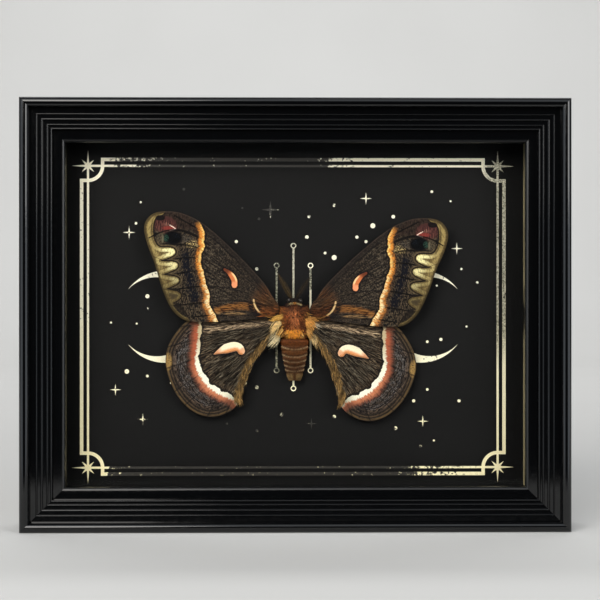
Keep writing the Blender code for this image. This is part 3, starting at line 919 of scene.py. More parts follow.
def border_path():
    """The thick line: a rectangle whose corners turn in round the corner stars."""
    turn = circle(CORNER_RADIUS, 16, 270, 180) + (STAR_X, STAR_Z)
    corner = np.concatenate(([(STAR_X + LINE_OUTSET, turn[0, 1])], turn,
                             [(turn[-1, 0], STAR_Z + LINE_OUTSET)]))
    mirrored = corner[::-1] * (-1, 1)
    return np.concatenate((corner, mirrored, -corner, -mirrored))


def crescent(sign):
    """The middle line and the widths of a crescent moon whose horns point away from the moth."""
    outer, inner, shift = 20.2, 17.4, 3.7
    horn = math.degrees(math.acos((outer ** 2 + shift ** 2 - inner ** 2) / (2 * outer * shift)))
    angles = np.radians(np.linspace(horn - 180, 180 - horn, 61))
    # how far the inner circle reaches along each ray from the middle of the outer one
    reach = -shift * np.cos(angles) + np.sqrt(inner ** 2 - (shift * np.sin(angles)) ** 2)
    radius = (outer + reach) / 2
    path = np.stack((sign * radius * np.cos(angles), radius * np.sin(angles)), axis=1)
    return path, np.maximum(outer - reach, 0.05)


def build_foil(foil):
    """Everything that is stamped on the card in gold."""
    border = Shell()
    add_ribbon(border, border_path(), THICK_LINE, closed=True)
    for sign in (-1, 1):
        across = [(-STAR_X, sign * STAR_Z), (STAR_X, sign * STAR_Z)]
        upright = [(sign * STAR_X, -STAR_Z), (sign * STAR_X, STAR_Z)]
        add_ribbon(border, across, THIN_LINE, lift=0.8 * FOIL_THICKNESS)
        add_ribbon(border, upright, THIN_LINE, lift=0.9 * FOIL_THICKNESS)
    border.build("foil_border", foil, "gold_foil", sharp=30)

    corners = Shell()
    for x in (-STAR_X, STAR_X):
        for z in (-STAR_Z, STAR_Z):
            outline = star_outline(STAR_REACHES * 2, 1.35)
            add_plate(corners, outline, (x, z), lift=1.2 * FOIL_THICKNESS)
    corners.build("foil_corner_stars", foil, "gold_foil", sharp=30)

    moons = Shell()
    for sign in (-1, 1):
        path, widths = crescent(-sign)
        add_ribbon(moons, path + (sign * MOON_X, 0.0), widths)
    moons.build("foil_crescents", foil, "gold_foil", sharp=30)

    rods = Shell()
    for x, high, low in RODS:
        for z in (high, low):
            add_ribbon(rods, circle(1.0) + (x, z), 0.45, closed=True)
        add_ribbon(rods, [(x, low + 1.1), (x, high - 1.1)], 0.85, lift=0.9 * FOIL_THICKNESS)
    rods.build("foil_rods", foil, "gold_foil", sharp=30)

    stars = Shell()
    for x, z, reach in STARS:
        outline = star_outline((0.95 * reach, reach, 0.95 * reach, reach), 0.17 * reach)
        add_plate(stars, outline, (x, z))
    stars.build("foil_stars", foil, "gold_foil", sharp=30)
    build_dots(foil)


def build_dots(foil):
    """Dots of several sizes: the larger ones listed, small ones scattered clear of everything."""
    rng = np.random.default_rng(RANDOM_SEED)
    wings = [wing_on_print(Wing(kind, side)) for kind in PLANS for side in SIDES]
    dots = Shell()
    taken = [(x, z, reach + 2.0) for x, z, reach in STARS]
    for x, z, radius in LARGE_DOTS:
        add_plate(dots, circle(radius, 20), (x, z))
        taken.append((x, z, radius))
    wanted = len(taken) + SMALL_DOTS
    while len(taken) < wanted:
        spot = rng.uniform((-82, -58), (82, 58))
        near = any(math.dist(spot, (x, z)) < reach + 4.0 for x, z, reach in taken)
        if not near and not any(inside(spot[None], outline)[0] for outline in wings):
            add_plate(dots, circle(0.45, 16), spot)
            taken.append((*spot, 0.45))
    dots.build("foil_dots", foil, "gold_foil", sharp=30)


# ---------------------------------------------------------------- wings

class Wing:
    """One wing: its plan, and where the plan lies in the object."""

    def __init__(self, kind, side):
        self.kind = kind
        self.side = side
        self.sign = SIDES[side]
        self.hinge_x, self.hinge_z, turn = HINGES[kind][side]
        self.turn = math.radians(turn)
        self.outline = smooth_path(PLANS[kind], WING_SPACING, closed=True)[::-1]

    def height(self, plan):
        """How far the top of the wing stands in front of the card, as in the solids."""
        a, b = plan[:, 0], plan[:, 1]
        if self.kind == "forewing":
            chord = (b - 1 - 0.46 * a) / (9.5 + 0.35 * abs(a))
            return 6.8 - 1.4 * (a / 60) ** 2 + 0.7 * np.maximum(0, 1 - chord ** 2)
        chord = (a + 0.55 * b - 13) / 26
        return 5.2 - 1.5 * (a * a + b * b) / 50 ** 2 + 0.5 * np.maximum(0, 1 - chord ** 2)

    def place(self, plan, lift):
        """Plan points as points of the object, lifted off the wing's own height."""
        a, b = plan[:, 0], plan[:, 1]
        x = a * math.cos(self.turn) - b * math.sin(self.turn)
        z = a * math.sin(self.turn) + b * math.cos(self.turn)
        return np.stack((MOTH_X + self.hinge_x + self.sign * x,
                         CARD_Y - self.height(plan) - lift,
                         MOTH_Z + self.hinge_z + z), axis=1)

    def fields(self, plan):
        """What the pattern is drawn with: distances to its lines, to the veins and to the edge."""
        found = {}
        for name, line in LINES[self.kind].items():
            distance, run = curve_field(plan, smooth_path(line, 0.25))
            found[name] = distance
            found[name + "_gap"] = abs(distance)
            found[name + "_run"] = run
        veins = [abs(curve_field(plan, smooth_path(line, 0.5))[0]) for line in VEINS[self.kind]]
        found["vein"] = np.min(veins, axis=0)
        found["rim"] = abs(curve_field(plan, self.outline[::3], closed=True)[0])
        root = np.array((-5.0, -2.0) if self.kind == "forewing" else (-2.0, 3.0))
        reach = np.linalg.norm(plan - root, axis=1)
        angle = np.arctan2(plan[:, 1] - root[1], plan[:, 0] - root[0])
        flat = np.zeros(len(plan))
        found["plan"] = np.stack((plan[:, 0], plan[:, 1], flat), axis=1)
        found["flow"] = np.stack((reach, 40 * angle, flat), axis=1)
        return found


def wing_on_print(wing):
    """The outline of a wing, in the print's own measure."""
    points = wing.place(smooth_path(PLANS[wing.kind], 3.0, closed=True), 0.0)
    return np.stack((points[:, 0] - PRINT_X, points[:, 2] - PRINT_Z), axis=1)


def fill_outline(outline, spacing):
    """Points on and inside an outline, on a triangular grid, and the triangles between them."""
    low, high = outline.min(axis=0), outline.max(axis=0)
    pitch = spacing * math.sqrt(3) / 2
    rows = np.arange(low[1], high[1], pitch)
    columns = np.arange(low[0], high[0], spacing)
    grid = np.stack(np.meshgrid(columns, rows), axis=-1)
    grid[1::2, :, 0] += spacing / 2
    grid = grid.reshape(-1, 2)
    grid = grid[inside(grid, outline)]
    clear = abs(curve_field(grid, outline, closed=True)[0]) > 0.6 * spacing
    points = np.concatenate((outline, grid[clear]))
    count = len(outline)
    edges = [(i, (i + 1) % count) for i in range(count)]
    made = geometry.delaunay_2d_cdt([Vector(p) for p in points], edges, [list(range(count))], 1, 1e-7)
    return np.array([tuple(p) for p in made[0]]), np.array(made[2])


def wing_sheets(kind):
    """The plan points, triangles and pattern fields of the front and back of both wings of a kind."""
    wing = Wing(kind, "right")
    made = []
    for spacing in (WING_SPACING, BACK_SPACING):
        plan, triangles = fill_outline(wing.outline, spacing)
        made.append((plan, triangles, wing.fields(plan)))
    return made


def build_wing(wing, sheets, material):
    """A thin closed shell: a fine front with raised veins, and a plain back that meets it at the rim."""
    points = []
    for plan, _, numbers in sheets:
        ridge = np.exp(-(numbers["vein"] / 0.3) ** 2)
        swell = np.sin(0.37 * plan[:, 0] + 1.0) * np.sin(0.31 * plan[:, 1] - 0.6)
        inner = ease(numbers["rim"], 0.0, 1.5)
        depth = RIM_THICKNESS + (WING_THICKNESS - RIM_THICKNESS) * inner if points else 0.0
        points.append(wing.place(plan, inner * (0.09 * ridge + 0.08 * swell) - depth))
    front = sheets[0][1]
    back = sheets[1][1][:, ::-1] + len(points[0])
    ring = np.arange(len(wing.outline))
    after = np.roll(ring, -1)
    wall = np.stack((after, ring, ring + len(points[0]), after + len(points[0])), axis=1)
    numbers = {name: np.concatenate([sheet[2][name] for sheet in sheets]) for name in sheets[0][2]}
    shell = Shell()
    shell.add(np.concatenate(points), [front, back, wall], **numbers)
    name = f"{wing.kind}_{wing.side}"
    shell.build(f"{name}_scaled", material, "wing_scales", name)


class WingGraph(Graph):
    """The graph of a wing's scales, with the fields that its pattern is drawn with.

    They are its plan and its coordinates a and b, the flow of its scales, broad and fine waverings, hair
    streaks along the flow, flecks across it, grain, and the distances to the rim, the veins and the band.
    """

    def __init__(self, name):
        super().__init__(name)
        self.plan, self.flow = self.stored_vector("plan"), self.stored_vector("flow")
        self.a, self.b, _ = self.parts(self.plan)
        self.warp = self.noise(self.plan, 0.7) - 0.5
        self.jitter = self.noise(self.plan, 1.7, detail=1) - 0.5
        self.streaks, self.flecks = self.streaky(self.flow, 0.26, 1.45), self.streaky(self.flow, 1.6, 0.80)
        self.grain = self.noise(self.plan, 2.0, detail=2, roughness=0.6)
        self.rim, self.vein = self.stored("rim"), self.stored("vein")
        self.band, self.band_run = self.stored("band"), self.stored("band_run")


def forewing_ground(g, costa):
    """Fine crossing hair-lines, with paler flecks towards the band and painted shade along the front edge.
    """
    cross = g.streaky(g.flow, 1.35, 1.1, twist=1.2, roughness=0.7)
    g.colour = g.blend((0.009, 0.007, 0.006), (0.044, 0.030, 0.020),
                       g.step(g.streaks + (cross - 0.5) * 0.8, 0.50, 0.20))
    g.layer((0.008, 0.006, 0.006), g.below(g.flecks, 0.45, 0.10) * 0.7)
    g.layer((0.092, 0.068, 0.045), g.step(g.flecks, 0.57, 0.07) * g.step(cross, 0.50, 0.12) * 0.8)
    bright_zone = g.between(g.band, -9.0, -0.6, 5.0) * g.between(g.b + g.warp * 3.0, 3.0, 32.0, 6.0)
    g.layer((0.150, 0.120, 0.082), bright_zone * g.step(cross, 0.58, 0.07)
            * g.step(g.streaks, 0.48, 0.1) * 0.7)
    # Painted shade: darker in a band along the front edge
    g.layer((0.012, 0.009, 0.008), g.below(costa + g.warp * 2.5, 2.6, 4.0) * 0.65)
    return cross


def forewing_root(g):
    """Rust-red fur, a curved pale bar and dark patches near the body."""
    reach, _, _ = g.parts(g.flow)
    near_root = g.below(reach + g.warp * 3.0, 17.0, 8.0)
    g.layer(g.blend((0.014, 0.007, 0.004), (0.105, 0.042, 0.015), g.step(g.streaks, 0.50, 0.14)),
            near_root * g.step(g.b - g.a * 0.12, 0.3, 2.4))
    rust = g.stored("rust_gap") + g.warp * 1.2
    g.layer(g.blend((0.040, 0.014, 0.006), (0.27, 0.110, 0.028), g.step(g.streaks, 0.50, 0.12)),
            g.below(rust, 1.35, 1.6) * 0.95)
    pale_streaks = g.spot(g.plan, (21.0, -1.6), (6.4, 0.75), 1.2) * g.step(g.streaks, 0.50, 0.08)
    g.layer((0.30, 0.172, 0.072), pale_streaks * 0.85)
    bar, bar_run, bar_gap = g.stored("bar"), g.stored("bar_run"), g.stored("bar_gap")
    g.layer((0.009, 0.006, 0.006), g.between(bar + g.warp, 0.3, 3.0, 1.2) * g.between(bar_run, 0.6, 9.0, 1.6)
            * g.below(g.streaks, 0.58, 0.10))
    g.layer((0.012, 0.006, 0.005), g.between(bar + g.warp, -3.2, -0.4, 1.2)
            * g.between(bar_run, 1.5, 8.0, 2.0) * g.below(g.streaks, 0.56, 0.12) * 0.9)
    g.layer(g.blend((0.64, 0.41, 0.19), (0.50, 0.26, 0.070), g.step(bar_run, 7.0, 5.0)),
            g.below(bar_gap + g.jitter * 0.5, 0.34, 0.30))


def forewing_comma(g):
    """The comma on the disc of the wing, in a dark rim."""
    comma, comma_run, comma_gap = g.stored("comma"), g.stored("comma_run"), g.stored("comma_gap")
    half = g.span(comma_run, 0.55, 1.18, 0.0, 4.6)
    g.layer((0.006, 0.005, 0.005), g.below(comma_gap - half, 0.8, 1.1) * 0.9)
    comma_shape = g.below(comma_gap + g.jitter * 0.35 - half, 0.0, 0.28)
    g.layer(g.blend((0.14, 0.036, 0.016), (0.60, 0.165, 0.055), g.step(comma_run, 2.6, 2.6)), comma_shape)
    g.layer((0.97, 0.62, 0.30), comma_shape * g.step(comma * -1.0 + g.jitter * 0.4, 0.45, 0.5)
            * g.between(comma_run, 3.2, 7.0, 1.6) * 0.95)
    g.layer((0.88, 0.33, 0.16), comma_shape * g.step(comma_run, 7.0, 1.4) * 0.8)
    return comma_shape


def forewing_outer(g):
    """The darker ground outside the band."""
    outer = g.step(g.band, 2.6, 1.2)
    g.layer(g.blend((0.006, 0.005, 0.005), (0.050, 0.034, 0.021), g.step(g.flecks, 0.50, 0.16)), outer)
    g.layer((0.135, 0.096, 0.058), outer * g.step(g.grain, 0.55, 0.06) * g.step(g.flecks, 0.50, 0.1) * 0.75)
    column = g.between(g.band + g.warp * 2.0, 4.6, 8.2, 1.8) * g.between(g.b + g.warp * 3.0, 2.0, 25.0, 4.0)
    g.layer((0.005, 0.005, 0.008), column * g.below(g.flecks, 0.60, 0.1))
    upright = g.streaky(g.plan, 1.9, 0.42)
    tip_area = outer * g.step(g.b, 34.0, 3.0)
    g.layer(g.blend((0.007, 0.004, 0.004), (0.034, 0.019, 0.014), g.step(upright, 0.50, 0.16)),
            tip_area * 0.8)
    return outer, upright


def forewing_band(g, cross, outer):
    """The band: cream towards the body, orange outwards, with dark flecks across it."""
    across = g.streaky(g.join(g.band, g.band_run), 0.35, 1.35)
    edge = g.band + g.jitter * 0.55 + g.below(g.vein, 0.7, 1.3) * 0.35
    ragged = g.band + (across - 0.5) * 2.6
    width = g.span(g.band_run, 2.5, 3.6, 33.0, 51.0)
    shown = g.step(g.band_run + g.jitter * 2.0, 7.0, 4.6)
    g.layer((0.006, 0.004, 0.004), g.between(edge, -0.8, 0.1, 0.5) * 0.8 * shown)
    low_half = g.span(g.band_run, 0.35, 1.0, 26.0, 44.0)
    g.layer((0.085, 0.036, 0.016), g.between(ragged - width, -0.8, 1.0, 1.4) * shown * low_half
            * g.step(cross, 0.50, 0.12))
    in_band = g.step(edge, 0.02, 0.22) * g.below(ragged - width, -0.4, 1.0) * shown
    orange = g.blend((0.66, 0.230, 0.036), (0.54, 0.200, 0.046), g.step(g.band_run, 34.0, 12.0))
    g.layer(orange, in_band)
    g.layer((0.110, 0.040, 0.013), in_band * g.below(across - g.band * 0.025, 0.43, 0.07) * 0.85)
    cream = g.blend((0.88, 0.56, 0.17), (0.92, 0.70, 0.36), g.step(g.band_run, 30.0, 14.0))
    cream = g.blend(cream, (0.95, 0.74, 0.24), g.spot(g.plan, (33.4, 28.2), (2.6, 2.4), 1.0))
    cream = g.blend(cream, (0.62, 0.27, 0.060), g.step(across + (g.jitter * 0.5), 0.54, 0.14))
    pale_width = g.span(g.band_run, 0.6, 1.5, 24.0, 52.0)
    g.layer(cream, in_band * g.below(ragged - pale_width, 0.0, 1.4))
    g.layer((0.50, 0.36, 0.15), outer * g.step(g.grain, 0.54, 0.06)
            * g.spot(g.plan, (37.6, 28.0), (3.6, 1.7), 1.4))
    return in_band


def forewing_tip(g, upright):
    """The maroon patch near the tip and its white zigzag."""
    patch = g.spot(g.shifted(g.plan, g.warp * 1.6, g.warp * -1.2), (50.6, 36.2), (5.2, 3.4), 0.9)
    g.layer(g.blend((0.030, 0.011, 0.010), (0.125, 0.042, 0.034), g.step(upright, 0.50, 0.20)),
            patch * 0.92)
    g.layer((0.24, 0.034, 0.026), g.spot(g.plan, (48.6, 34.8), (2.9, 0.9), 1.4) * 0.75)
    g.layer((0.030, 0.010, 0.010), patch * g.step(g.b + g.warp * 2.0, 38.2, 2.4) * 0.75)
    g.layer((0.24, 0.105, 0.075), g.spot(g.plan, (49.8, 36.6), (1.0, 0.7), 1.4)
            * g.step(upright, 0.46, 0.1) * 0.8)
    g.layer((0.84, 0.62, 0.50), g.below(g.stored("zigzag_gap") + g.jitter * 0.6, 0.15, 0.25))


def forewing_veins(g, outer, in_band, comma_shape):
    """Dark veins, faint where they cross the band."""
    line = g.vein + g.jitter * 0.25
    g.layer((0.004, 0.003, 0.003), g.below(line, 0.34, 0.3) * outer * 0.9)
    g.layer((0.008, 0.006, 0.006), g.below(line, 0.30, 0.35) * (1.0 - outer) * (1.0 - in_band)
            * (1.0 - comma_shape) * 0.65)
    g.shadow(g.below(line, 0.15, 0.3) * in_band, 0.35)
    return line


def forewing_eyespot(g):
    """The eyespot between paler grains."""
    g.layer((0.085, 0.070, 0.054), g.spot(g.plan, (42.0, 30.4), (3.4, 1.7), 1.2)
            * g.step(g.grain, 0.54, 0.06))
    g.layer((0.085, 0.064, 0.038), g.spot(g.plan, (51.6, 30.4), (2.6, 2.4), 1.0)
            * g.step(g.grain, 0.48, 0.1) * 0.8)
    eye = g.shifted(g.plan, g.warp * 0.5, g.warp * 0.5)
    g.layer((0.007, 0.005, 0.005), g.spot(eye, (46.8, 30.6), (4.3, 3.2), 0.6) * 0.90)
    g.layer((0.0016, 0.0016, 0.0022), g.spot(eye, (46.8, 30.6), (3.6, 2.6), 0.3))
    g.layer((0.020, 0.050, 0.034), g.spot(eye, (49.8, 30.4), (1.1, 1.5), 0.9) * g.step(g.grain, 0.48, 0.08))
    g.layer((0.010, 0.014, 0.022), g.spot(eye, (45.4, 31.2), (1.5, 1.1), 0.9) * g.step(g.grain, 0.60, 0.06))
    g.layer((0.13, 0.115, 0.070), g.spot(eye, (51.3, 30.2), (0.45, 1.7), 0.9) * 0.75)


def forewing_margin(g, costa, outer, line):
    """The serpentine edge, with a cream ribbon and olive outside it, and the dark spot at the tip."""
    serpent, serpent_run = g.stored("serpent"), g.stored("serpent_run")
    edge = serpent + g.jitter * 0.35
    lobes = g.between(serpent_run, 17.5, 66.0, 2.0)
    g.layer((0.150, 0.105, 0.050), g.between(edge, -1.35, -0.70, 0.4) * lobes * g.step(g.b, 2.0, 3.0) * 0.40)
    g.layer((0.012, 0.008, 0.006), g.between(edge, -0.72, -0.05, 0.25) * 0.92)

    # pale margin outside it: a cream ribbon along the edge, olive between it and the rim
    low_part = g.below(g.b, 2.4, 2.4)
    pale = g.step(edge, -0.05, 0.25) * (1.0 - low_part * g.step(g.rim + g.jitter * 0.5, 1.3, 0.5))
    cloud = g.step(g.noise(g.plan, 1.1, detail=2), 0.5, 0.3)
    faded = g.below(g.b + g.warp * 2.0, 14.0, 21.0)
    fingers = g.step(serpent_run, 19.5, 4.0)
    rimward = g.rim + g.jitter * 0.8
    g.layer((0.008, 0.006, 0.005), low_part * g.step(edge, -0.05, 0.25) * (1.0 - pale) * 0.75)
    g.layer(g.blend((0.090, 0.056, 0.020), (0.200, 0.135, 0.050), cloud), pale)
    g.layer((0.36, 0.260, 0.095), pale * g.between(rimward, 1.2, 2.9, 0.9) * (1.0 - faded * 0.85) * 0.85)
    ribbon = pale * fingers * g.below(edge + (cloud - 0.5) * 0.4, 1.85, 0.7)
    g.layer((0.50, 0.385, 0.155), ribbon * (1.0 - faded * 0.85))
    g.layer((0.90, 0.79, 0.40), ribbon * g.step(rimward, 5.0, 3.4) * (1.0 - faded)
            * g.step(edge, 0.25, 0.5))
    g.layer((0.110, 0.070, 0.026), pale * fingers * g.between(edge, 1.75, 2.3, 0.5) * 0.5)
    g.layer((0.130, 0.085, 0.032), ribbon * g.below(edge, 0.45, 0.4) * g.below(rimward, 7.0, 2.0) * 0.8)
    g.layer((0.030, 0.021, 0.011), pale * g.between(edge, 0.35, 0.85, 0.3) * (1.0 - fingers) * 0.55)
    g.layer((0.055, 0.038, 0.016), pale * g.below(g.rim + g.jitter * 0.3, 0.80, 0.7) * 0.85)
    g.layer((0.040, 0.026, 0.013), pale * g.below(line, 0.14, 0.25) * 0.75)
    g.layer((0.055, 0.036, 0.016), pale * g.step(g.flecks, 0.54, 0.08) * 0.45)
    g.shadow(pale * faded, 0.36)
    lowest = g.below(g.b + g.warp * 2.0, 9.0, 4.0)
    g.layer((0.045, 0.032, 0.018), pale * lowest * g.step(edge, 1.1, 0.8) * g.step(rimward, 1.9, 0.8) * 0.8)
    crease = g.below(g.stored("crease_gap") + g.jitter * 0.2, 0.30, 0.25)
    g.layer((0.004, 0.003, 0.003), crease * outer * 0.9)
    g.layer((0.008, 0.005, 0.005), g.spot(g.plan, (52.6, 39.2), (2.1, 1.2), 0.6))
    g.layer((0.050, 0.033, 0.025), g.below(costa, 0.40, 0.3) * 0.55)


def forewing_material():
    """Grey-brown scales with an orange and cream band, an eyespot and a serpentine cream margin."""
    g = WingGraph("forewing_scales")
    costa = g.stored("costa_gap")
    cross = forewing_ground(g, costa)
    forewing_root(g)
    comma_shape = forewing_comma(g)
    outer, upright = forewing_outer(g)
    in_band = forewing_band(g, cross, outer)
    forewing_tip(g, upright)
    line = forewing_veins(g, outer, in_band, comma_shape)
    forewing_eyespot(g)
    forewing_margin(g, costa, outer, line)
    g.bump(g.streaks * 0.7 + g.grain * 0.5 + g.flecks * 0.4, 0.16, 0.8)
    return g.finish(Roughness=0.72, Specular_IOR_Level=0.08)


def hindwing_ground(g):
    """The ground under the long hair, with its pale streak and inner fringe."""
    inner, fine = g.stored("inner"), g.streaky(g.flow, 0.30, 2.1)
    g.colour = g.blend((0.008, 0.005, 0.004), (0.052, 0.034, 0.020), g.step(g.streaks, 0.50, 0.14))
    g.layer((0.150, 0.105, 0.064), g.step(fine, 0.56, 0.06) * 0.80)
    g.layer((0.22, 0.165, 0.100), g.step(fine, 0.62, 0.05) * g.step(g.streaks, 0.50, 0.1) * 0.6)
    g.layer((0.007, 0.005, 0.005), g.below(g.flecks, 0.42, 0.08) * 0.6)
    streak = g.stored("streak_gap") + g.warp * 1.6
    g.layer((0.66, 0.46, 0.28), g.below(streak, 0.8, 1.6) * g.step(fine, 0.53, 0.07) * 0.85)
    g.layer(g.blend((0.060, 0.034, 0.012), (0.42, 0.270, 0.110), g.step(g.streaks, 0.48, 0.12)),
            g.below(inner + g.warp, 2.2, 2.4) * 0.9)
    return fine


def hindwing_crescent(g):
    """The crescent: cream, rusty along its outer edge, in a dark rim."""
    moon, moon_run, moon_gap = g.stored("crescent"), g.stored("crescent_run"), g.stored("crescent_gap")
    half = g.span(moon_run, 0.1, 2.05, 0.0, 5.6) - g.span(moon_run, 0.0, 0.55, 9.0, 13.5)
    g.layer((0.006, 0.005, 0.005), g.below(moon_gap - half, 0.8, 1.2) * 0.9)
    g.layer((0.006, 0.005, 0.006), g.between(moon - half, 0.0, 2.4, 2.0)
            * g.between(moon_run, 2.0, 12.0, 3.0) * 0.8)
    shape = g.below(moon_gap + g.jitter * 0.3 - half, 0.0, 0.28)
    g.layer((0.97, 0.80, 0.55), shape)
    g.layer((0.74, 0.30, 0.110), shape * g.step(moon + g.jitter * 0.8, 0.45, 1.3))
    g.layer((0.62, 0.235, 0.095), shape * g.below(moon_run + g.jitter, 3.2, 3.0) * 0.9)
    g.layer((0.68, 0.27, 0.11), shape * g.step(moon_run + g.jitter, 12.6, 1.2) * 0.8)
    g.layer((0.34, 0.110, 0.038), shape * g.step(moon - half, -0.45, 0.5) * 0.8)
    return shape


def hindwing_outer(g):
    """Waves of grey-lilac and brown outside the band."""
    outer = g.step(g.band, 4.4, 1.4)
    g.layer(g.blend((0.007, 0.005, 0.005), (0.046, 0.032, 0.023), g.step(g.flecks, 0.50, 0.18)), outer)
    ring = g.streaky(g.join(g.rim, g.band_run), 1.7, 0.62, twist=1.2, roughness=0.5)
    upper = g.span(g.band_run, 1.0, 0.30, 26.0, 44.0)
    g.layer((0.170, 0.152, 0.143), outer * g.between(g.rim + g.warp * 2.0, 3.2, 9.0, 1.6)
            * g.step(ring, 0.55, 0.06) * g.step(g.grain, 0.46, 0.12) * upper * 0.8)
    g.layer((0.100, 0.060, 0.034), outer * g.between(g.rim + g.warp * 1.5, 2.7, 4.6, 1.0)
            * g.step(ring, 0.54, 0.06) * 0.7)
    g.layer((0.006, 0.005, 0.006), outer * g.between(g.rim + g.warp * 2.0, 3.6, 6.4, 1.4)
            * g.below(ring, 0.45, 0.06) * 0.8)


def hindwing_margin(g):
    """Fine brown lines along the rim."""
    outward = g.step(g.band, 5.0, 2.0)
    line = g.rim + g.jitter * 0.35
    uneven = g.step(g.noise(g.stretch(g.join(g.rim, g.band_run), (1.0, 0.5, 1.0)), 0.6, detail=2), 0.46, 0.2)
    g.layer((0.100, 0.061, 0.026), outward * g.below(line, 0.95, 0.5) * g.span(uneven, 0.35, 0.95))
    g.layer((0.016, 0.011, 0.008), outward * g.between(line, 1.05, 1.6, 0.3) * 0.9)
    g.layer((0.080, 0.051, 0.027), outward * g.between(line, 1.65, 2.15, 0.3) * g.span(uneven, 0.0, 0.75))
    g.layer((0.014, 0.010, 0.008), outward * g.between(line, 2.25, 3.0, 0.4) * 0.85)
    g.layer((0.36, 0.21, 0.065), g.spot(g.plan, (47.0, -16.9), (1.7, 3.6), 1.4)
            * g.step(g.grain, 0.44, 0.12) * 0.85)
    g.layer((0.045, 0.030, 0.018), outward * g.below(line, 0.32, 0.3) * 0.8)


def hindwing_band(g):
    """The band: white towards the body and pink outwards."""
    across = g.streaky(g.join(g.band, g.band_run), 0.32, 1.35)
    ragged = g.band + (across - 0.5) * 3.2
    cusp = g.below(g.vein, 1.0, 2.2) * 0.45
    edge = g.band + g.warp * 1.2 + g.jitter * 0.35 - cusp
    low_end = g.step(g.band_run, 41.0, 8.0)
    white_width = 1.75 + g.spot(g.join(g.band_run, g.band), (32.0, 0.0), (10.0, 9.0), 1.4) * 0.7
    g.layer((0.006, 0.005, 0.005), g.between(edge, -1.0, 0.0, 0.8) * 0.8)
    in_pink = g.step(edge, 0.1, 0.3) * g.below(ragged - white_width, 2.5, 2.8)
    red = g.blend((0.37, 0.090, 0.042), (0.55, 0.185, 0.088), g.step(g.band_run + g.jitter * 3.0, 24.0, 9.0))
    red = g.blend(red, (0.150, 0.048, 0.028), g.step(ragged - white_width, 1.8, 2.2))
    g.layer(red, in_pink * g.step(g.band_run, 5.5, 6.0))
    g.layer((0.110, 0.045, 0.026), in_pink * g.below(g.band_run, 5.5, 6.0))
    g.layer((0.150, 0.050, 0.030), in_pink * g.below(across, 0.42, 0.10) * 0.6)
    g.layer((0.110, 0.038, 0.022), in_pink * low_end * g.step(ragged - white_width, 0.2, 1.6) * 0.9)
    in_white = g.step(edge, 0.0, 0.25) * g.below(ragged - white_width, -0.2, 0.9)
    white = g.blend((0.50, 0.39, 0.23), (0.95, 0.88, 0.68), g.step(g.band_run, 17.0, 18.0))
    g.layer(g.blend(white, (0.42, 0.40, 0.29), low_end), in_white)
    return in_white, in_pink


def hindwing_veins(g, shape, in_white, in_pink):
    """Dark veins, faint where they cross the band and the crescent."""
    g.layer((0.006, 0.005, 0.005), g.below(g.vein + g.jitter * 0.25, 0.28, 0.35) * (1.0 - shape)
            * (1.0 - in_white) * (1.0 - in_pink * 0.7) * 0.7)
    g.shadow(g.below(g.vein, 0.12, 0.25) * in_white, 0.4)


def hindwing_material():
    """Dark brown scales under long hair, a white and pink band and a bright crescent."""
    g = WingGraph("hindwing_scales")
    fine = hindwing_ground(g)
    shape = hindwing_crescent(g)
    hindwing_outer(g)
    hindwing_margin(g)
    in_white, in_pink = hindwing_band(g)
    hindwing_veins(g, shape, in_white, in_pink)
    g.bump(g.streaks * 0.8 + g.grain * 0.3 + fine * 0.6, 0.18, 0.9)
    return g.finish(Roughness=0.70, Specular_IOR_Level=0.08)


# ---------------------------------------------------------------- fur

def mixed(under, over, share):
    """Colours of points with another laid over them by each point's share."""
    share = np.asarray(share)[:, None]
    return under * (1 - share) + np.array(over) * share


def zone_colours(ground, zones):
    """Says the colour at points of the object: the ground with each zone laid over it."""
    def colours_at(points):
        x, z = points[:, 0] - BODY_X, points[:, 2] - MOTH_Z
        colours = np.tile(np.array(ground, float), (len(points), 1))
        for middle_x, middle_z, wide, high, colour in zones:
            reach = ((x - middle_x) / wide) ** 2 + ((z - middle_z) / high) ** 2
            colours = mixed(colours, colour, np.clip(1.7 * np.exp(-reach), 0, 1))
        return colours
    return colours_at


def mixed_colours(rng, colours):
    """Says a colour at random for each point asked for."""
    return lambda points: np.array(colours)[rng.integers(0, len(colours), len(points))]


def grow(shell, rng, roots, normals, heading, colours_at, length, lift=0.3, hairs=10, spread=0.25,
         stray=0.15, curl=0.06, radius=0.06, contrast=0.4, rings=2, front=0.8, root_shade=0.55):
    """A lock of hairs at each root, along its heading; the hairs of a lock share its bend and its shade."""
    flat = unit(heading - normals * (heading * normals).sum(1, keepdims=True))
    along = unit(flat + rng.normal(0, stray, flat.shape) + lift * normals)
    reach = along * length * rng.uniform(0.7, 1.2, (len(roots), 1))
    bends = (0.12 * normals + rng.normal(0, curl, roots.shape)) * length
    tints = colours_at(roots + 0.5 * reach) * np.exp(rng.normal(0, contrast, len(roots)))[:, None]
    lock = np.repeat(np.arange(len(roots)), hairs)
    starts = roots[lock] + rng.normal(0, spread, (len(lock), 3))
    shares = rng.uniform(0.75, 1.05, (len(lock), 1))
    tips = roots[lock] + reach[lock] * shares + rng.normal(0, 0.4 * spread, (len(lock), 3))
    shades = rng.uniform(0.8, 1.2, (len(lock), 1))
    tints = tints[lock] * shades
    tints /= np.maximum(1.0, tints.max(axis=1, keepdims=True) / BRIGHTEST)
    strands(shell, starts, tips, bends[lock], radius * rng.uniform(0.7, 1.2, len(lock)), tints, rings,
            unit(normals[lock] + (0.0, -front, 0.0)), root_shade)


def fur_material(name, roughness=0.62):
    """Hair in the tint stored with it, which holds painted shade towards the roots, a little uneven."""
    g = Graph(name)
    clump = g.noise(g.place(), 1.1, detail=2)
    g.colour = g.scaled(g.stored_vector("tint"), g.span(clump, 0.72, 1.2, 0.35, 0.65))
    return g.finish(Roughness=roughness, Specular_IOR_Level=0.15)


# ---------------------------------------------------------------- body

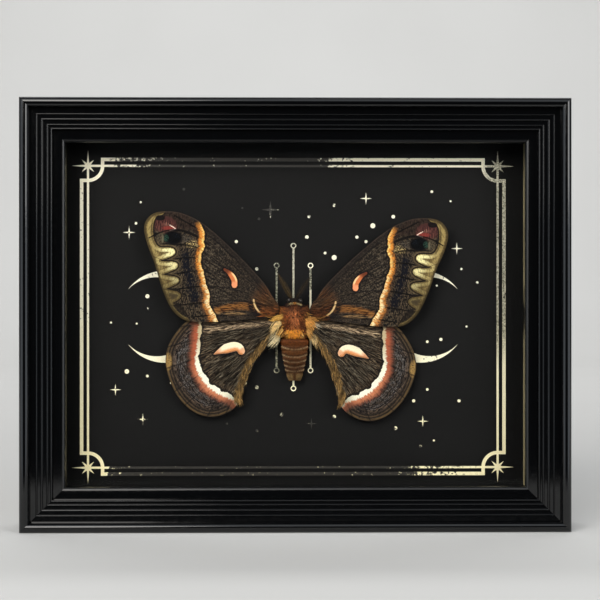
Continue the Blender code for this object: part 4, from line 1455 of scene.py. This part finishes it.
def thorax_rows():
    """z, half width, half depth and height of the middle, from the head down."""
    rows = []
    for z in np.linspace(7.0, -7.0, 25):
        full = (1 - (abs(z) / 7.35) ** 2.6) ** (1 / 2.6)
        rows.append((z, 6.1 * full, 4.6 * full, 5.2))
    return np.array(rows)


def abdomen_rows():
    rows = [(-7.7, 4.4, 3.0, 4.6)]
    for ring in range(7):
        for share, swell in ((0.0, 0.93), (0.35, 1.0), (0.75, 1.0)):
            run = (ring + share) / 7
            wide = (6.2 - 2.9 * run ** 1.6) * swell
            rows.append((-8.0 - 16.6 * run, wide, 0.66 * wide + 0.1, 4.6 - 1.2 * run))
    rows += [(-25.4, 2.9, 1.9, 3.3), (-26.0, 2.2, 1.4, 3.2)]
    return np.array(rows)


def skin(rows, z, angles, shrink=0.0):
    """Points on a body part; 0 degrees is to the right and 90 to the front."""
    wide, deep, height = (np.interp(z, rows[::-1, 0], rows[::-1, k]) for k in (1, 2, 3))
    return np.stack((BODY_X + (wide - shrink) * np.cos(angles),
                     CARD_Y - height - (deep - shrink) * np.sin(angles), MOTH_Z + z), axis=-1)


def skin_normals(rows, z, angles):
    along = skin(rows, z + 0.1, angles) - skin(rows, z - 0.1, angles)
    around = skin(rows, z, angles + 0.02) - skin(rows, z, angles - 0.02)
    return unit(np.cross(along, around))


def add_flesh(shell, rows, shrink, tint):
    """The solid that carries the fur."""
    angles = np.radians(np.arange(0, 360, 12))
    rings = [skin(rows, np.full(len(angles), z), angles, shrink) for z in rows[:, 0]]
    loft(shell, rings, tint=tint)


def scatter(rng, rows, count, high, low, shrink):
    """Random places on the seen side of a body part, and the directions that point out of it."""
    z = rng.uniform(low, high, 4 * count)
    wide = np.interp(z, rows[::-1, 0], rows[::-1, 1])
    z = z[rng.random(len(z)) < wide / rows[:, 1].max()][:count]
    angles = np.radians(rng.uniform(-25, 205, len(z)))
    return skin(rows, z, angles, shrink), skin_normals(rows, z, angles)


def body_heading(points, splay):
    """Down along the body and a little outwards."""
    outwards = (points[:, 0] - BODY_X) / 6.0 * splay
    return unit(np.stack((outwards, np.zeros(len(points)), -np.ones(len(points))), axis=1))


def build_thorax(fur):
    rng = np.random.default_rng(RANDOM_SEED + 1)
    rows = thorax_rows()
    shell = Shell()
    add_flesh(shell, rows, 0.7, (0.07, 0.020, 0.007))
    colours = zone_colours((0.47, 0.150, 0.040), THORAX_ZONES)
    roots, normals = scatter(rng, rows, 760, 7.2, -6.6, 0.7)
    grow(shell, rng, roots, normals, body_heading(roots, 0.5), colours, 2.3, lift=0.45, hairs=11,
         spread=0.20, stray=0.30, curl=0.16, radius=0.075, contrast=0.36, rings=3)
    z = rng.uniform(-6.9, -3.7, 300)
    angles = np.radians(rng.uniform(10, 170, len(z)))
    roots, normals = skin(rows, z, angles, -0.1), skin_normals(rows, z, angles)
    arc_colours = zone_colours((1.5, 0.58, 0.070), ARC_ZONES)
    grow(shell, rng, roots, normals, body_heading(roots, 0.9), arc_colours, 1.8, lift=0.25, hairs=10,
         spread=0.18, stray=0.25, curl=0.10, radius=0.07, contrast=0.22, front=3.0, root_shade=0.85)
    shell.build("thorax_fur", fur, "body_fur", "thorax")


def build_head(fur, eye):
    """The head, nearly hidden under its dark fur, and the pale collar in front of it."""
    rng = np.random.default_rng(RANDOM_SEED + 2)
    rows = np.array(HEAD_ROWS)
    shell = Shell()
    add_flesh(shell, rows, 0.35, (0.012, 0.007, 0.005))
    roots, normals = scatter(rng, rows, 200, 9.9, 7.4, 0.35)
    dark = zone_colours((0.014, 0.008, 0.005), ())
    grow(shell, rng, roots, normals, body_heading(roots, 0.7) * (1, 1, -0.6), dark, 1.0, lift=0.5,
         hairs=9, spread=0.15, stray=0.25, radius=0.05)
    across = rng.uniform(-3.3, 3.3, 90)
    roots = np.stack((BODY_X + across, CARD_Y - 7.6 + 0.06 * across ** 2,
                      MOTH_Z + 7.5 - 0.075 * across ** 2 + rng.normal(0, 0.12, len(across))), axis=1)
    normals = np.tile((0.0, -1.0, 0.0), (len(roots), 1))
    heading = unit(np.stack((-0.12 * across, np.zeros(len(across)), np.ones(len(across))), axis=1))
    ruff = zone_colours((0.34, 0.24, 0.115), ((0.0, 7.9, 0.55, 2.0, (0.45, 0.16, 0.025)),))
    grow(shell, rng, roots, normals, heading, ruff, 0.85, lift=0.2, hairs=9, spread=0.12, stray=0.2,
         radius=0.06, contrast=0.25)
    shell.build("head_fur", fur, "body_fur", "head")
    eyes = Shell()
    for sign in (-1, 1):
        middle = np.array((BODY_X + sign * 2.4, CARD_Y - 5.3, MOTH_Z + 8.9))
        turns = np.radians(np.linspace(4, 176, 12))
        around = np.radians(np.arange(0, 360, 20))
        rings = [middle + 0.95 * np.stack((np.sin(t) * np.cos(around), np.sin(t) * np.sin(around),
                                           np.full(len(around), np.cos(t))), axis=1) for t in turns]
        loft(eyes, rings)
    eyes.build("eyes", eye, "body_fur")


def abdomen_colours(points):
    """Rusty brown rings with thin pale edges, darker downwards, a tan tail and a plain first ring."""
    x, z = points[:, 0] - BODY_X, points[:, 2] - MOTH_Z
    bent = z - 0.042 * x ** 2
    colours = np.array((0.178, 0.060, 0.0125)) * (1.0 - 0.50 * ease(-z, 14.0, 21.0))[:, None]
    side = ease(abs(x), 0.8, 4.0)
    for line in (-12.4, -15.8, -18.0, -20.1, -21.9):
        dark = 0.75 * np.exp(-((bent - line - 0.70) / 0.50) ** 2)
        pale = np.exp(-((bent - line) / 0.27) ** 2) * (0.32 + 0.60 * side)
        colours = mixed(mixed(colours, (0.070, 0.023, 0.007), dark), (0.64, 0.44, 0.24), pale)
    colours = mixed(colours, (0.26, 0.155, 0.060), ease(-z, 22.4, 23.6) * ease(abs(x), 0.2, 0.9))
    return mixed(colours, (0.205, 0.055, 0.0095), 1 - ease(-z, 9.0, 12.4))


def build_abdomen(fur):
    rng = np.random.default_rng(RANDOM_SEED + 3)
    rows = abdomen_rows()
    shell = Shell()
    add_flesh(shell, rows, 0.35, (0.07, 0.026, 0.009))
    roots, normals = scatter(rng, rows, 11500, -7.6, -25.6, 0.35)
    grow(shell, rng, roots, normals, body_heading(roots, 0.12), abdomen_colours, 0.8, lift=0.22,
         hairs=1, spread=0.0, stray=0.12, radius=0.065, contrast=0.14)
    shell.build("abdomen_scales", fur, "abdomen_scales", "abdomen")


def build_antennae(horn):
    """A curved stalk with two rows of fine barbs."""
    for side, foot_x, lean, length, brown in (("left", -0.7, -29, 13.4, (0.056, 0.031, 0.0075)),
                                              ("right", 1.3, 33, 12.2, (0.020, 0.011, 0.0035))):
        turned = math.radians(lean)
        along = np.array((math.sin(turned), 0.0, math.cos(turned)))
        across = np.array((math.cos(turned), 0.0, -math.sin(turned)))
        front = np.array((0.0, -1.0, 0.0))
        foot = np.array((MOTH_X + foot_x, CARD_Y - 5.0, MOTH_Z + 9.9))

        def stalk(share):
            share = np.asarray(share, float)[..., None]
            return foot + along * length * share + front * 0.35 * np.sin(math.pi * share)

        shell = Shell()
        shares = np.linspace(0, 1, 30)
        turns = np.radians(np.arange(0, 360, 60))[:, None]
        rings = [stalk(s) + 0.17 * (1 - 0.7 * s) * (np.cos(turns) * across + np.sin(turns) * front)
                 for s in shares]
        loft(shell, rings, tint=brown)
        shares = np.linspace(0.03, 0.985, 70)
        reach = (1.5 * np.sin(math.pi * (0.12 + 0.88 * shares) ** 0.8))[:, None]
        for sign in (-1, 1):
            roots = stalk(shares)
            tips = roots + reach * (0.93 * sign * across + 0.55 * along) - front * 0.22 * reach
            tints = np.tile(brown, (len(roots), 1))
            strands(shell, roots, tips, -0.10 * reach * along, np.full(len(roots), 0.085), tints, rings=4)
        shell.build(f"antenna_{side}_barbs", horn, "antenna_horn", f"antenna_{side}")


# ---------------------------------------------------------------- hair on the wings

def plan_places(wing, rng, count, low, high):
    """Random plan points of a wing within two corners."""
    plan = rng.uniform(low, high, (count, 2))
    return plan[inside(plan, wing.outline)]


def on_wing(wing, plan, heading):
    """Points on the front of a wing, its normals there, and a plan heading turned into the object's."""
    roots = wing.place(plan, 0.0)
    ahead = unit(wing.place(plan + 0.5 * heading, 0.0) - roots)
    aside = unit(wing.place(plan + (0.0, 0.5), 0.0) - roots)
    level = unit(wing.place(plan + (0.5, 0.0), 0.0) - roots)
    normals = np.cross(aside, level) * wing.sign
    normals *= np.where(normals[:, 1:2] > 0, -1, 1)
    return roots, unit(normals), ahead


def build_shoulder(wing, fur):
    """The fur that runs from the side of the thorax out over the root of a forewing."""
    rng = np.random.default_rng(RANDOM_SEED + 10 + wing.sign)
    shell = Shell()
    colours = zone_colours(SHOULDER_GROUND[wing.side], SHOULDER_ZONES[wing.side])
    plan = plan_places(wing, rng, 1500, (-1.0, -5.0), (13.0, 16.0))
    reach = np.linalg.norm(plan - (-4.0, -1.0), axis=1)
    plan = plan[rng.random(len(plan)) < 0.95 * (1 - ease(reach, 4.5, 12.0))]
    roots, normals, ahead = on_wing(wing, plan, unit(plan - (-9.0, -1.5)))
    grow(shell, rng, roots, normals, ahead, colours, 3.2, lift=0.14, hairs=9, spread=0.16, stray=0.08,
         radius=0.055, contrast=0.50)

    z = rng.uniform(-5.6, 4.9, 210)
    angles = np.radians(rng.uniform(20, 70, len(z)))
    if wing.sign < 0:
        angles = math.pi - angles
    rows = thorax_rows()
    roots, normals = skin(rows, z, angles, 0.5), skin_normals(rows, z, angles)
    heading = np.stack((np.full(len(z), float(wing.sign)), np.zeros(len(z)), 0.12 * (z - 0.5)), axis=1)
    grow(shell, rng, roots, normals, unit(heading), colours, 4.2, lift=0.14, hairs=10, spread=0.18,
         stray=0.14, radius=0.065, contrast=0.5)
    for root, tip, spread, locks, colour in TUFTS[wing.side]:
        add_tuft(shell, rng, root, tip, spread, locks, colour)
    shell.build(f"shoulder_fur_{wing.side}", fur, "body_fur")


def add_tuft(shell, rng, root, tip, spread, locks, colour):
    """A brush of long hair beside the body; root and tip are x, z and height in front of the card."""
    first, last = (np.array((BODY_X + x, CARD_Y - height, MOTH_Z + z)) for x, z, height in (root, tip))
    roots = first + rng.normal(0, spread, (locks, 3)) * (1.0, 0.35, 1.0)
    heading = np.tile(unit(last - first), (locks, 1))
    normals = np.tile((0.0, -1.0, 0.0), (locks, 1))
    grow(shell, rng, roots, normals, heading, zone_colours(colour, ()), np.linalg.norm(last - first),
         lift=0.08, hairs=10, spread=0.16, stray=0.12, radius=0.065, contrast=0.18, front=2.5,
         root_shade=0.8)


def build_hindwing_hair(wing, fur):
    """Long hair that lies over the hindwing, and the fringe along its inner edge."""
    rng = np.random.default_rng(RANDOM_SEED + 20 + wing.sign)
    shell = Shell()
    plan = plan_places(wing, rng, 3000, (-1.0, -36.0), (34.0, 5.0))
    heading = unit(plan - (-6.0, 4.0))
    clear = np.ones(len(plan), bool)
    for name, side, margin in (("band", -1, 0.6), ("crescent", 0, 2.4), ("streak", 1, 1.1)):
        path = smooth_path(LINES["hindwing"][name], 1.0)
        for share in (0.0, 0.5, 1.0):
            distance = curve_field(plan + heading * 4.8 * share, path)[0]
            clear &= (distance * side if side else abs(distance)) > margin
    plan, heading = plan[clear], heading[clear]
    roots, normals, ahead = on_wing(wing, plan, heading)
    browns = ((0.009, 0.006, 0.005), (0.013, 0.009, 0.007), (0.030, 0.021, 0.014), (0.060, 0.044, 0.028),
              (0.105, 0.080, 0.052), (0.165, 0.128, 0.085), (0.26, 0.21, 0.145))
    grow(shell, rng, roots, normals, ahead, mixed_colours(rng, browns), 4.6, lift=0.08, hairs=6,
         spread=0.09, stray=0.05, radius=0.050, contrast=0.2)

    path = smooth_path(LINES["hindwing"]["inner"], 0.4)
    spots = rng.integers(2, len(path) - 4, 360)
    along = unit(path[np.minimum(spots + 3, len(path) - 1)] - path[spots - 2])
    inwards = np.stack((-along[:, 1], along[:, 0]), axis=1)
    plan = path[spots] + inwards * rng.uniform(0.1, 2.4, (len(spots), 1))
    roots, normals, ahead = on_wing(wing, plan, unit(along - 0.38 * inwards))
    fringe = zone_colours((0.27, 0.155, 0.052), FRINGE_ZONES[wing.side])
    grow(shell, rng, roots, normals, ahead, fringe, 4.4, lift=0.12, hairs=9, spread=0.16, stray=0.10,
         radius=0.065, contrast=0.55)
    shell.build(f"hindwing_hair_{wing.side}", fur, "wing_scales")


# ---------------------------------------------------------------- studio

def build_floor():
    """A pale floor that sweeps up into a backdrop behind the object."""
    g = Graph("studio_paper")
    g.colour = g.blend((0.56, 0.56, 0.55), (0.60, 0.60, 0.59), g.noise(g.place(), 0.004, detail=2))
    material = g.finish(Roughness=0.9, Specular_IOR_Level=0.2)
    bend_start, bend, top = 1.6, 0.7, 3.0
    line = [(FLOOR_FRONT, 0.0), (bend_start, 0.0)]
    for step in range(1, 17):
        angle = math.pi / 2 * step / 16
        line.append((bend_start + bend * math.sin(angle), bend - bend * math.cos(angle)))
    line.append((bend_start + bend, top))
    points = [(x, y, z) for y, z in line for x in (-3.2, 3.2)]
    faces = [(2 * k, 2 * k + 1, 2 * k + 3, 2 * k + 2) for k in range(len(line) - 1)]
    mesh = bpy.data.meshes.new("studio_sweep")
    mesh.from_pydata(points, [], faces)
    mesh.shade_smooth()
    mesh.materials.append(material)
    floor = add_object("studio_sweep", mesh)


def add_softbox(name, place, size, power, colour, target=LIGHTS_AIM):
    light = bpy.data.lights.new(name, "AREA")
    light.shape = "RECTANGLE"
    light.size, light.size_y = size
    light.energy = power
    light.color = colour
    item = add_object(name, light)
    item.location = place
    item.rotation_euler = (Vector(target) - Vector(place)).to_track_quat("-Z", "Y").to_euler()
    item.visible_camera = False


def build_lights():
    """Softboxes well to the sides, so that the flat treads of the moulding stay black."""
    add_softbox("key", (-0.62, -1.18, 0.78), (1.0, 0.8), 18.6, WARM)
    add_softbox("fill", (0.95, -1.00, 0.52), (0.7, 0.6), 6.6, WARM)
    add_softbox("side_left", (-0.84, -0.62, 0.22), (1.0, 0.9), 3.6, COOL)
    add_softbox("side_right", (0.84, -0.62, 0.22), (1.0, 0.9), 4.4, COOL)
    add_softbox("top", (0.0, -0.75, 0.95), (1.6, 1.0), 5.4, (0.90, 0.95, 1.0))
    add_softbox("backdrop", (0.0, 0.9, 1.9), (3.0, 0.8), 46.0, (1.0, 1.0, 1.0), (0.0, 2.2, 0.5))

    world = bpy.data.worlds.new("studio")
    bpy.context.scene.world = world
    world.use_nodes = True
    nodes, links = world.node_tree.nodes, world.node_tree.links
    dim = nodes["Background"]
    dim.inputs["Color"].default_value = (0.9, 0.95, 1.0, 1.0)
    dim.inputs["Strength"].default_value = 0.035
    pale = nodes.new("ShaderNodeBackground")
    pale.inputs["Color"].default_value = (0.80, 0.80, 0.79, 1.0)
    seen = nodes.new("ShaderNodeLightPath")
    both = nodes.new("ShaderNodeMixShader")
    for socket, source in zip(both.inputs, (seen.outputs["Is Camera Ray"], dim.outputs[0], pale.outputs[0])):
        links.new(source, socket)
    links.new(both.outputs[0], nodes["World Output"].inputs["Surface"])
    bpy.context.scene.view_settings.view_transform = "Standard"


def build_camera():
    """Level with the frame and square to it, but for a slight turn from the left."""
    turn = math.radians(CAMERA_TURN)
    aim = Vector((AIM_X, FRONT_Y * MM, AIM_Z))
    camera = add_object("camera", bpy.data.cameras.new("camera"))
    camera.data.lens = 85
    camera.data.sensor_width = 36
    camera.data.clip_start = 0.01
    camera.location = aim - Vector((math.sin(turn), math.cos(turn), 0.0)) * CAMERA_DISTANCE
    camera.rotation_euler = (math.pi / 2, 0.0, -turn)
    bpy.context.scene.camera = camera


# ---------------------------------------------------------------- the object

def dress(material, *nodes):
    """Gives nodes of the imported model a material."""
    for node in nodes:
        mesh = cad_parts[node].data
        mesh.materials.clear()
        mesh.materials.append(material)


def main():
    sides = ("top", "bottom", "left", "right")
    dress(glass_material(), "glass_pane")
    dress(card_material(), "mount_card")
    dress(fillet_material(), *[f"fillet_{side}" for side in sides])
    dress(fibreboard_material(), "backing_board")
    tabs = [f"framers_tab_{number}" for number in range(1, 7)]
    dress(steel_material(), *tabs, "hanger_plate", "hanger_nail_left", "hanger_nail_right")
    build_moulding(lacquer_material())
    build_foil(foil_material())

    scales = {"forewing": forewing_material(), "hindwing": hindwing_material()}
    fur = fur_material("body_fur")
    for kind in PLANS:
        sheets = wing_sheets(kind)
        for side in SIDES:
            build_wing(Wing(kind, side), sheets, scales[kind])
    for side in SIDES:
        build_shoulder(Wing("forewing", side), fur)
        build_hindwing_hair(Wing("hindwing", side), fur_material(f"hindwing_hair_{side}"))
    build_thorax(fur)
    build_head(fur, eye_material())
    build_abdomen(fur_material("abdomen_scales", 0.55))
    build_antennae(fur_material("antenna_horn", 0.5))

    build_floor()
    build_lights()
    build_camera()


main()
